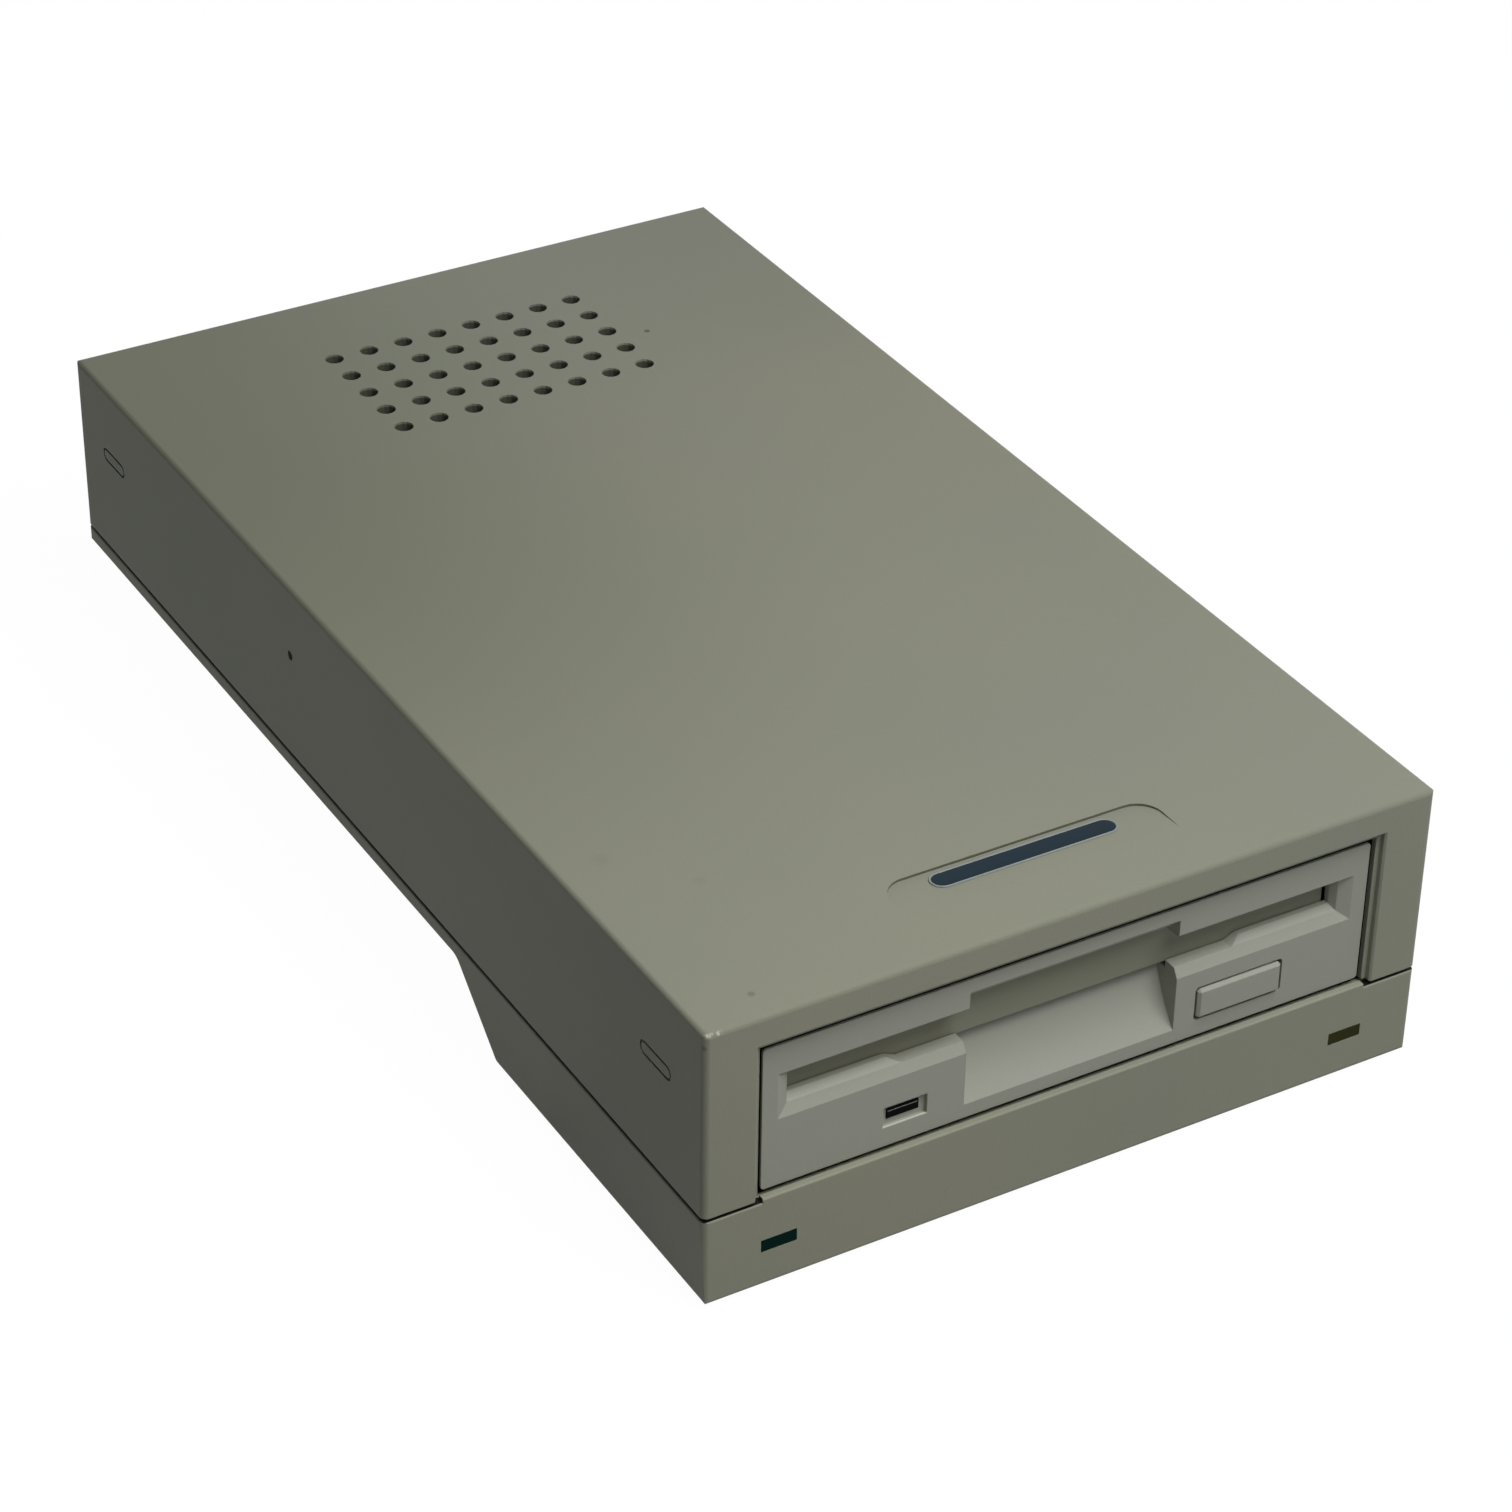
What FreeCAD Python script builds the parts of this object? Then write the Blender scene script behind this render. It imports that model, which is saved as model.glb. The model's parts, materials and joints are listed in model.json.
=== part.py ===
"""External 3.5 inch floppy disk drive that plugs into a computer's parallel port.

Millimetres, +Z up, X to the right, the front looks along -Y. The origin is the middle of the
footprint, on the surface that the rubber feet stand on. A two-part moulded case, a tray with a deep
front chin and a cover, holds a complete 25 mm high floppy mechanism and the interface board.
"""

import FreeCAD, Part
import math
import os

V = FreeCAD.Vector

# ---------------------------------------------------------------- case: driving sizes
WIDTH = 121.4
LENGTH = 214.6
COVER_TOP = 47.9
FOOT_HEIGHT = 0.9
BASE_REAR_Z = 13.4
BASE_RIM_Z = 15.75
COVER_RIM_Z = 16.4
WALL = 2.5
FLOOR = 2.0
CORNER_R = 1.0
TOP_EDGE_R = 0.8
BASE_DRAFT = 0.4
RIM_R = 0.3

HALF_W = WIDTH / 2
HALF_L = LENGTH / 2
IN_W = HALF_W - WALL
IN_L = HALF_L - WALL
REAR_FLOOR_Z = BASE_REAR_Z + FLOOR

# chin under the front of the case
CHIN_WALL = 2.3
CHIN_FLOOR_Z = FOOT_HEIGHT + CHIN_WALL
CHIN_END_Y = -44.9
STEP_TOP_Y = -32.4
STEP_R = 3.0
LEDGE_Z = 16.4
LEDGE_HALF = 51.2
SILL_T = 1.1

# front opening of the cover, a stepped reveal
OPEN_HALF = 52.25
OPEN_TOP = 42.8
REVEAL_HALF = 51.5
REVEAL_TOP = 41.9
REVEAL_DEPTH = 1.1

# rear opening, with a shroud running in to the port panel
REAR_HALF = 54.5
REAR_TOP = 42.5
SHROUD = 1.8
PANEL_Y = 100.0
PANEL_T = 1.0
PANEL_HALF = 57.4
PANEL_TOP = 45.2

# vent holes
VENT_COLUMNS = 8
VENT_ROWS = 5
VENT_PITCH_X = 6.43
VENT_PITCH_Y = 6.6
VENT_R = 1.6
VENT_Y = 73.4
VENT_SIDES = 12

# shallow recess for a badge on top of the cover
BADGE_REAR_Y = -88.8
BADGE_FRONT_Y = -97.0
BADGE_HALF = 22.7
BADGE_DEPTH = 0.5
BADGE_R = 4.0

# moulded oval marks on the sides
OVAL_LONG = 8.8
OVAL_HIGH = 2.5
OVAL_GROOVE = 0.4
OVAL_DEPTH = 0.3
OVAL_Z = 35.1
OVAL_FRONT_Y = -93.9
OVAL_REAR_Y = 93.0
PINHOLE = (23.5, 35.4, 0.85, 0.9)

# case fasteners and feet
CASE_SCREW_X = 54.2
FRONT_SCREW_Y = -92.0
REAR_SCREW_Y = 92.0
SCREW_R = 1.5
SCREW_HEAD_R = 2.7
SCREW_HEAD_H = 1.8
SCREW_CLEAR = 0.05
COVER_BOSS_R = 2.9
TRAY_BOSS_R = 4.0
FRONT_BOSS_TOP = 15.9
REAR_BOSS_TOP = 16.35
PILOT_DEPTH = 10.0
WEB_RISE = 3.0
RIB_T = 1.5
COVER_RIB_DROP = 2.0
COVER_RIB_YS = (-70.0, -35.0, 0.0, 35.0)
CHIN_RIB_RISE = 7.5
CHIN_RIB_XS = (-22.0, 0.0, 22.0)
CHIN_RIB_YS = (-84.0, -46.0)
PANEL_RIB_HALF = 50.0
PANEL_RIB_T = 2.3
PANEL_PLAY = 0.1
TONGUE_X = (56.3, 57.6)
TONGUE_Y = (-102.0, 98.0)
TONGUE_RISE = 2.0
TONGUE_ROOT = 0.6
TONGUE_GAP = 4.6
BITE = 0.5
FOOT_X = 42.0
FRONT_FOOT_Y = -88.0
REAR_FOOT_X = 40.0
REAR_FOOT_Y = 85.0
FOOT_R = 6.0
FOOT_RECESS = 0.5
FOOT_SIDES = 12
FOOT_BEVEL = 0.4
LEG_R = 7.0

# indicator windows in the chin
LENS_X = 48.5
LENS_Z = 8.05
LENS_W = 5.7
LENS_H = 2.0
LENS_PLAY = 0.04
LENS_FLANGE = 0.9

# seats of the case and drive screws, above the surface the feet stand on
CASE_SEAT_FRONT = 5.5
CASE_SEAT_REAR = 15.3
DRIVE_SCREW_X = 45.8
DRIVE_SCREW_YS = (-80.0, 25.0)
DRIVE_SEAT_FRONT = 12.5
DRIVE_SEAT_REAR = 15.3
DRIVE_POST_FRONT_R = 3.2
DRIVE_POST_REAR_R = 4.5
DRIVE_HEAD_FRONT_R = 2.0
DRIVE_HEAD_REAR_R = 2.6
HEAD_PLAY = 0.2
HEAD_BEVEL = 0.4

# circuit boards in the case
BOARD_Z = 16.8
BOARD_T = 1.6
BOARD_POST_R = 3.0
BOARD_POST_X = 46.0
BOARD_POST_YS = (52.0, 84.0)
BOARD_PILOT_R = 1.25
BOARD_SCREW_R = 1.2
BOARD_HEAD_R = 2.2
BOARD_HEAD_H = 1.5
BOARD_HALF = 50.2
BOARD_FRONT_Y = 46.0
CHIP_LIFT = 0.4
LEAD_REACH = 0.7
CHIPS = ((-14.0, 66.0, 30.0, 14.0, 4.0), (16.0, 76.0, 20.0, 6.4, 3.6), (16.0, 62.0, 20.0, 6.4, 3.6))
CRYSTAL = (-36.0, 72.0, 11.0, 4.6, 3.6)
CAPACITORS = ((39.0, 66.0, 4.0, 11.0), (39.0, 77.0, 4.0, 11.0), (-44.0, 62.0, 2.6, 8.0))
CAN_GROOVE = 0.4
CAN_SIDES = 12
REGULATOR_X = (35.0, 45.0)
REGULATOR_Y = 50.7
REGULATOR_TAB_T = 1.3
SINK_T = 1.3
REGULATOR_RISE = 5.0
REGULATOR_LEG_XS = (37.5, 40.0, 42.5)
SINK_X = (30.0, 50.0)
SINK_FIN_Y = 57.0
SINK_RISE = (3.0, 19.0)
HEADER = (-31.0, 15.0, 52.2, 56.6, 7.0)
HEADER_WALL = 1.2
RIBBON_X = (-29.6, 13.6)
RIBBON_T = 0.9
POWER_XS = (20.0, 22.0, 24.0, 26.0)
POWER_T = 1.2
LED_BOARD_Y = -100.3
LED_BOARD_Z = 5.3
LED_BOARD_HALF = 52.0
LED_BOARD_DEEP = 6.4
LED_POST_X = 30.0
LED_POST_R = 2.2

# 25-way D-shaped ports
PORT_X = 27.2
PORT_Z = 25.0
PORT_SPACING = 47.04
PORT_FLANGE_W = 53.04
PORT_FLANGE_H = 12.55
PLUG_SHELL_W = 38.96
PLUG_SHELL_H = 8.36
SOCKET_SHELL_W = 38.3
SOCKET_SHELL_H = 7.9
SHELL_OUT = 6.0
CONTACT_PITCH = 2.77
ROW_SPACING = 2.84
JACK_HEX = 4.75
JACK_BORE_R = 1.25
JACK_LENGTH = 5.0
JACK_STUD_R = 1.4
PORT_BODY_HALF = 20.6
PORT_BODY_DEEP = 10.0
PORT_BODY_RISE = 5.4
SHELL_LEAN = math.radians(10)
SHELL_CORNER_R = 2.2
SHELL_WALL = 0.5
PIN_LENGTH = 4.6
PIN_SIZE = 0.5
PORT_CUT_PLAY = 0.6
PANEL_NOTCH = 3.2
INLET_SIDES = 12
INLET_X = 38.0
INLET_Z = 37.0
INLET_R = 4.4
INLET_BORE_R = 2.75
INLET_LENGTH = 13.0
INLET_OUT = 1.0
INLET_PIN_R = 1.0
INLET_NUT_R = 5.4
INLET_NUT_T = 0.9

# ---------------------------------------------------------------- drive: driving sizes
FACE_Y = -105.9
BEZEL_HALF = 50.8
BEZEL_Z0 = 16.85
BEZEL_Z1 = 41.0
BEZEL_T = 3.1
DRIVE_Z = 16.0
DRIVE_REAR = 40.0
FRAME_HALF = 50.8
FRAME_T = 1.2
FRAME_FRONT_Y = FACE_Y + 5.6
FRAME_HIGH = 24.2
FRAME_FLOOR_Z = DRIVE_Z + 3.0
BLOCK_Z = DRIVE_Z + 4.0
TAB_DEEP = 10.0
CONNECTOR_TOP = DRIVE_Z + 9.0
SPRING_POST = (40.0, 42.0, 30.0, 31.2)
LID_HALF = 51.3
LID_TOP = DRIVE_Z + 25.0
HEM_DEEP = 16.0
HEM_HIGH = 6.0
DRIVE_BOARD = (-40.0, 40.0, -76.0, 39.0)
SPINDLE_Y = -56.0
SPINDLE_R = 1.5
TURN_PLAY = 0.05
STATOR_POLES = 9
STATOR_Z = (21.6, 23.4)
STATOR_HUB_R = 8.0
POLE_HALF = 1.1
POLE_SHOE = (14.2, 15.6, 2.6)
ROTOR_R = 18.5
ROTOR_WALL = 1.2
ROTOR_Z = (21.2, 25.0)
HUB_FLANGE_R = 13.0
HUB_R = 10.0
HUB_TOP = 27.8
HEAD_Y = -16.5
HEAD_HALF = (3.0, 3.5)
SCREW_X = -14.0
SCREW_Z = 26.0
SCREW_TIP_R = 1.0
MOTOR_Y = 17.4
MOTOR_R = 7.2
MOTOR_LENGTH = 17.0
RAIL_X = 15.0
RAIL_Z = 24.5
RAIL_Y = (-38.8, 15.3)
RUNNER = (12.0, 18.0, -8.0, 10.0, 21.6, 27.4)
DISK_LIFT = 2.8
EJECT_TRAVEL = 5.0
LIFT_RATIO = DISK_LIFT / EJECT_TRAVEL
PIN_Z = 33.0
PIN_YS = (-80.0, -22.0)
PIN_R = 1.0
PIN_PLAY = 0.3
PIN_OUT = 50.5
SHEET = 0.8
ARM_TILT = -0.21
HINGE_Y = 4.0
HINGE_Z = 33.0
ARM_PIN_R = 0.8

# drive bezel, button, lamp and dust flap
SLOT_HALF = 45.75
SLOT_Z0 = 30.7
SLOT_Z1 = 35.0
SLOT_MID_HALF = 27.8
SLOT_MID_RUN = 2.2
SLOT_MID_Z0 = 29.8
SLOT_MID_Z1 = 35.7
LIP_HALF = 48.3
LIP_Z = 28.3
LIP_RIDGE_Z = 29.9
LIP_RIDGE_DEPTH = 1.0
LIP_TOP_Z = 36.0
SLOT_FLARE = 0.6
THROAT = 1.2
TINY = 0.001
NOTCH_HALF = 17.6
NOTCH_Z = 38.7
SCOOP_HALF = 17.8
SCOOP_Z0 = 19.2
SCOOP_Z1 = 28.6
SCOOP_DEPTH = 5.3
SCOOP_WALL = 1.2
SCOOP_HOLLOW = (0.45, -0.27)
BEZEL_RIM = 2.4
HINGE_EAR_X = (46.1, 47.5)
HINGE_EAR_Z = (35.6, 39.8)
POCKETS_X = ((19.6, 46.0), (-46.0, -32.2))
POCKET_Z = (18.4, 27.2)
BEZEL_CORNER_R = 0.6
BUTTON = (21.7, 36.3, 19.95, 25.05)
BUTTON_PROUD = 0.5
BUTTON_GAP = 0.35
BUTTON_EDGE = 0.45
LAMP_FRAME = (-31.2, -24.0, 20.2, 23.6)
LAMP = (-30.3, -25.1, 21.2, 22.8)
LAMP_SINK = 0.7
LAMP_BASE_RIM = 0.6
FLAP_FRONT_Y = FACE_Y + 3.3
FLAP_T = 1.0
FLAP_HALF = 45.3
FLAP_Z0 = 29.5
FLAP_PIVOT_Y = FLAP_FRONT_Y + 1.0
FLAP_PIVOT_Z = 37.2
FLAP_PIN_R = 0.6

# lid screws
SHIELD_SCREW_YS = (-60.0, 28.0)
SHIELD_SCREW_Z = 38.0
SHIELD_SCREW_R = 1.25

# disk cage, shutter lever and springs
CAGE_HALF = 46.5
CAGE_Y0 = -89.0
CAGE_Y1 = -6.0
CAGE_TOP = 36.0
CAGE_LIP_Z = 30.1
SLIDE_HALF = 48.4
SLIDE_Y = (-93.0, -2.0)
SLIDE_LIFT = 1.8
SLIDE_ARM_Y = -97.4
SLIDE_ARM_Z = 20.8
RAMP_PLAY = 0.18
RAMP_LEAD = 1.0
LEVER_X = -34.0
LEVER_Y = -12.0
LEVER_REACH = 30.0
LEVER_REST = -78.0
LEVER_SWING = 36.0
LEVER_PIN_R = 1.2
LEVER_PIN_Z = 31.6
LEVER_HALF = 1.8
SPRING_R = 1.4
SPRING_WIRE = 0.35
SPRING_X = 41.0
SPRING_Z = 38.2
SPRING_Y0 = -0.8
SPRING_Y1 = 28.8


# ---------------------------------------------------------------- shared helpers
def block(x0, x1, y0, y1, z0, z1):
    """A box between two corners."""
    return Part.makeBox(x1 - x0, y1 - y0, z1 - z0, V(x0, y0, z0))


def rod(r, x, y, z, length, axis="z"):
    """A round bar that starts at a point and runs along one axis."""
    direction = {"x": V(1, 0, 0), "y": V(0, 1, 0), "z": V(0, 0, 1)}[axis]
    return Part.makeCylinder(r, length, V(x, y, z), direction)


def peg(r, x, y, z, length, axis="z", sides=8):
    """A many-sided bar, for small posts, screws and holes that nothing turns or slides in."""
    u, v, low = {"x": (y, z, x), "y": (x, z, y), "z": (x, y, z)}[axis]
    angles = [2 * math.pi * (i + 0.5) / sides for i in range(sides)]
    return prism([(u + r * math.cos(a), v + r * math.sin(a)) for a in angles], axis, low, low + length)


def tube(outer, inner, x, y, z, length, axis="z"):
    """A round bar with a round hole through it."""
    return rod(outer, x, y, z, length, axis).cut(rod(inner, x, y, z, length, axis))


def mirror_x(shape):
    """The same shape on the other side of the middle plane."""
    return shape.mirror(V(0, 0, 0), V(1, 0, 0))


def both_sides(shape):
    """A shape and its mirror image, as a list."""
    return [shape, mirror_x(shape)]


def joined(first, *others):
    """One solid out of several that touch or overlap."""
    return first.fuse(list(others)).removeSplitter()


def corner(before, here, after, r):
    """Start, middle and end of the arc that rounds one corner of an outline."""
    a = V(before[0] - here[0], before[1] - here[1], 0).normalize()
    b = V(after[0] - here[0], after[1] - here[1], 0).normalize()
    point = V(here[0], here[1], 0)
    half = a.getAngle(b) / 2
    middle = (a + b).normalize()
    centre = point + middle * (r / math.sin(half))
    reach = r / math.tan(half)
    return point + a * reach, centre - middle * r, point + b * reach


def outline(points):
    """A closed wire in the XY plane. A point is (u, v) or (u, v, corner radius)."""
    count = len(points)
    stops = []
    for i, here in enumerate(points):
        if len(here) == 3 and here[2] > 0:
            stops.append(corner(points[i - 1], here, points[(i + 1) % count], here[2]))
        else:
            stops.append((V(here[0], here[1], 0),))
    edges = []
    for i, stop in enumerate(stops):
        if len(stop) == 3:
            edges.append(Part.Arc(*stop).toShape())
        start = stop[-1]
        end = stops[(i + 1) % count][0]
        if start.distanceToPoint(end) > 1e-6:
            edges.append(Part.LineSegment(start, end).toShape())
    return Part.Wire(edges)


def facet_corners(points):
    """The same outline with each rounded corner made of two short runs."""
    result = []
    for i, here in enumerate(points):
        stops = corner(points[i - 1], here, points[(i + 1) % len(points)], here[2])
        result += [(stop.x, stop.y) for stop in stops]
    return result


def prism(points, axis, low, high):
    """An outline run along an axis. u, v are y, z for x; x, z for y; and x, y for z."""
    face = Part.Face(outline(points))
    turn = {
        "x": FreeCAD.Matrix(0, 0, 1, low, 1, 0, 0, 0, 0, 1, 0, 0, 0, 0, 0, 1),
        "y": FreeCAD.Matrix(1, 0, 0, 0, 0, 0, -1, low, 0, 1, 0, 0, 0, 0, 0, 1),
        "z": FreeCAD.Matrix(1, 0, 0, 0, 0, 1, 0, 0, 0, 0, 1, low, 0, 0, 0, 1),
    }[axis]
    run = {"x": V(1, 0, 0), "y": V(0, 1, 0), "z": V(0, 0, 1)}[axis]
    face.Placement = FreeCAD.Placement(turn)
    return face.extrude(run * (high - low))


def rectangle(u0, u1, v0, v1, r=0.0):
    """Corner points of a rectangle, all rounded alike."""
    return [(u0, v0, r), (u1, v0, r), (u1, v1, r), (u0, v1, r)]


def oval_points(u, v, length, height, steps=6):
    """Outline of a level slot whose round ends are made of a few short runs, around its middle."""
    r = height / 2
    reach = length / 2 - r
    points = []
    for side in (1, -1):
        for i in range(steps + 1):
            angle = math.pi * (i / steps - 0.5)
            points.append((u + side * (reach + r * math.cos(angle)), v + side * r * math.sin(angle)))
    return points


def band(points, thickness):
    """Closed outline of a thin strip that follows a path, to the left of it."""
    other = []
    for i, (u, v) in enumerate(points):
        last = points[max(i - 1, 0)]
        following = points[min(i + 1, len(points) - 1)]
        a = V(u - last[0], v - last[1], 0) if i else V(following[0] - u, following[1] - v, 0)
        b = V(following[0] - u, following[1] - v, 0) if i < len(points) - 1 else a
        a.normalize()
        b.normalize()
        normal = V(-a.y - b.y, a.x + b.x, 0).normalize()
        reach = thickness / normal.dot(V(-a.y, a.x, 0))
        other.append((u + normal.x * reach, v + normal.y * reach))
    return list(points) + other[::-1]


def save(node, *solids):
    """Write one named sub-part, as one solid or as a group of separate solids."""
    shape = solids[0] if len(solids) == 1 else Part.makeCompound(list(solids))
    shape.exportStep(os.path.join("parts", node + ".step"))


# ---------------------------------------------------------------- case
def case_blank(side_profile):
    """A side profile across the whole width, with the case's rounded upright corners."""
    plan = prism(rectangle(-HALF_W, HALF_W, -HALF_L, HALF_L, CORNER_R), "z", 0, COVER_TOP)
    return prism(side_profile, "x", -HALF_W, HALF_W).common(plan)


def oval_marks():
    """Ring-shaped grooves on both sides, near the front and the rear."""
    rings = []
    for y in (OVAL_FRONT_Y, OVAL_REAR_Y):
        inner = oval_points(y, OVAL_Z, OVAL_LONG - 2 * OVAL_GROOVE, OVAL_HIGH - 2 * OVAL_GROOVE)
        ring = prism(oval_points(y, OVAL_Z, OVAL_LONG, OVAL_HIGH), "x", HALF_W - OVAL_DEPTH, HALF_W + 1)
        ring = ring.cut(prism(inner, "x", HALF_W - 1, HALF_W + 2))
        rings += both_sides(ring)
    return rings


def vent_holes():
    """The grid of round holes over the rear of the case."""
    holes = []
    for column in range(VENT_COLUMNS):
        for row in range(VENT_ROWS):
            x = (column - (VENT_COLUMNS - 1) / 2) * VENT_PITCH_X
            y = VENT_Y + (row - (VENT_ROWS - 1) / 2) * VENT_PITCH_Y
            holes.append(peg(VENT_R, x, y, COVER_TOP - 2 * WALL, 3 * WALL, "z", VENT_SIDES))
    return holes


def badge_recess():
    """A wedge-shaped recess, deepest along its rear edge and running out to nothing in front."""
    wedge_side = [
        (BADGE_REAR_Y, COVER_TOP - BADGE_DEPTH),
        (BADGE_REAR_Y, COVER_TOP + 1),
        (BADGE_FRONT_Y, COVER_TOP + 1),
        (BADGE_FRONT_Y, COVER_TOP),
    ]
    wedge = prism(wedge_side, "x", -BADGE_HALF, BADGE_HALF)
    plan = [
        (-BADGE_HALF, BADGE_FRONT_Y - 1),
        (BADGE_HALF, BADGE_FRONT_Y - 1),
        (BADGE_HALF, BADGE_REAR_Y, BADGE_R),
        (-BADGE_HALF, BADGE_REAR_Y, BADGE_R),
    ]
    return wedge.common(prism(plan, "z", COVER_TOP - 2, COVER_TOP + 2))


def cover_bosses():
    """Screw bosses that hang from the top of the cover at its four corners, webbed to the walls."""
    bosses = []
    for y in (FRONT_SCREW_Y, REAR_SCREW_Y):
        boss = peg(COVER_BOSS_R, CASE_SCREW_X, y, COVER_RIM_Z, COVER_TOP - WALL - COVER_RIM_Z + BITE)
        web = block(CASE_SCREW_X, IN_W + BITE, y - RIB_T / 2, y + RIB_T / 2,
                    COVER_RIM_Z + WEB_RISE, COVER_TOP - WALL + BITE)
        bosses += both_sides(boss.fuse(web))
    return bosses


def cover_pilots():
    """The screw holes up into the bosses."""
    holes = []
    for y in (FRONT_SCREW_Y, REAR_SCREW_Y):
        holes += both_sides(peg(SCREW_R + SCREW_CLEAR, CASE_SCREW_X, y, COVER_RIM_Z - 1, PILOT_DEPTH))
    return holes


def top_cover():
    """The upper shell: open underneath, with the drive's opening in front and the ports' behind."""
    side = [
        (-HALF_L, COVER_RIM_Z),
        (HALF_L, COVER_RIM_Z),
        (HALF_L, COVER_TOP, TOP_EDGE_R),
        (-HALF_L, COVER_TOP, TOP_EDGE_R),
    ]
    front = [
        (-HALF_W, COVER_RIM_Z),
        (HALF_W, COVER_RIM_Z),
        (HALF_W, COVER_TOP, TOP_EDGE_R),
        (-HALF_W, COVER_TOP, TOP_EDGE_R),
    ]
    shell = case_blank(side).common(prism(front, "y", -HALF_L, HALF_L))
    ceiling = COVER_TOP - WALL
    shell = shell.cut(block(-IN_W, IN_W, -IN_L, IN_L, 0, ceiling))
    ribs = [block(-IN_W - BITE, IN_W + BITE, y - RIB_T / 2, y + RIB_T / 2,
                  ceiling - COVER_RIB_DROP, ceiling + BITE)
            for y in COVER_RIB_YS]
    shroud_outer = block(-REAR_HALF - SHROUD, REAR_HALF + SHROUD, PANEL_Y + PANEL_T, IN_L + BITE,
                         COVER_RIM_Z, REAR_TOP + SHROUD)
    keeper = block(-IN_W - BITE, IN_W + BITE, PANEL_Y - PANEL_PLAY - RIB_T, PANEL_Y - PANEL_PLAY,
                   REAR_TOP, ceiling + BITE)
    shell = joined(shell, shroud_outer, keeper, *ribs, *cover_bosses())
    openings = [
        block(-OPEN_HALF, OPEN_HALF, -HALF_L - 1, -HALF_L + REVEAL_DEPTH, 0, OPEN_TOP),
        frustum(OPEN_HALF + RIM_R, OPEN_HALF, 0, 0, OPEN_TOP + RIM_R, OPEN_TOP, -HALF_L, -HALF_L + RIM_R),
        block(-REVEAL_HALF, REVEAL_HALF, -HALF_L - 1, -IN_L + BITE, 0, REVEAL_TOP),
        block(-REAR_HALF, REAR_HALF, PANEL_Y, HALF_L + 1, 0, REAR_TOP),
        peg(PINHOLE[2], -HALF_W - 1, PINHOLE[0], PINHOLE[1], PINHOLE[3] + 1, "x"),
        badge_recess(),
    ]
    return shell.cut(openings + vent_holes() + oval_marks() + cover_pilots()).removeSplitter()


def base_side_profile():
    """Side view of the tray: a deep chin in front, a slope, and a thin floor behind."""
    return [
        (-HALF_L, FOOT_HEIGHT, TOP_EDGE_R),
        (CHIN_END_Y, FOOT_HEIGHT, STEP_R),
        (STEP_TOP_Y, BASE_REAR_Z, STEP_R),
        (HALF_L, BASE_REAR_Z, TOP_EDGE_R),
        (HALF_L, BASE_RIM_Z),
        (-HALF_L, BASE_RIM_Z, RIM_R),
    ]


def tray_hollow():
    """The space inside the tray, from the chin's floor over the slope to the rear floor."""
    rise = (BASE_REAR_Z - FOOT_HEIGHT) / (STEP_TOP_Y - CHIN_END_Y)
    skin = CHIN_WALL * math.hypot(1, rise)

    def slope_y(z):
        return CHIN_END_Y + (z - FOOT_HEIGHT - skin) / rise

    profile = [
        (-HALF_L + CHIN_WALL, CHIN_FLOOR_Z),
        (slope_y(CHIN_FLOOR_Z), CHIN_FLOOR_Z),
        (slope_y(REAR_FLOOR_Z), REAR_FLOOR_Z),
        (IN_L, REAR_FLOOR_Z),
        (IN_L, COVER_TOP),
        (-HALF_L + CHIN_WALL, COVER_TOP),
    ]
    return prism(profile, "x", -IN_W, IN_W)


def tray_tongue():
    """A rib on each side that stands inside the cover's wall and lines the two shells up."""
    x0, x1 = TONGUE_X
    y0, y1 = TONGUE_Y
    tongue = block(x0, x1, y0, y1, BASE_REAR_Z + TONGUE_ROOT, COVER_RIM_Z + TONGUE_RISE)
    root = block(x0, IN_W + BITE, y0, y1, BASE_REAR_Z + TONGUE_ROOT, BASE_RIM_Z - RIM_R)
    rib = tongue.fuse(root)
    for y in (FRONT_SCREW_Y, REAR_SCREW_Y):
        rib = rib.cut(block(x0 - 1, x1 + 1, y - TONGUE_GAP, y + TONGUE_GAP, BASE_RIM_Z, COVER_TOP))
    return both_sides(rib)


def tray_bosses():
    """Posts for the case screws, the drive screws and the circuit boards."""
    places = [
        (TRAY_BOSS_R, CASE_SCREW_X, FRONT_SCREW_Y, CHIN_FLOOR_Z, FRONT_BOSS_TOP),
        (TRAY_BOSS_R, CASE_SCREW_X, REAR_SCREW_Y, REAR_FLOOR_Z, REAR_BOSS_TOP),
        (DRIVE_POST_FRONT_R, DRIVE_SCREW_X, DRIVE_SCREW_YS[0], CHIN_FLOOR_Z, DRIVE_Z),
        (DRIVE_POST_REAR_R, DRIVE_SCREW_X, DRIVE_SCREW_YS[1], REAR_FLOOR_Z, DRIVE_Z),
        (LED_POST_R, LED_POST_X, LED_BOARD_Y, CHIN_FLOOR_Z, LED_BOARD_Z),
    ]
    places += [(BOARD_POST_R, BOARD_POST_X, y, REAR_FLOOR_Z, BOARD_Z) for y in BOARD_POST_YS]
    posts = []
    for r, x, y, low, high in places:
        posts += both_sides(peg(r, x, y, low - BITE, high - low + BITE))
    return posts


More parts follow.
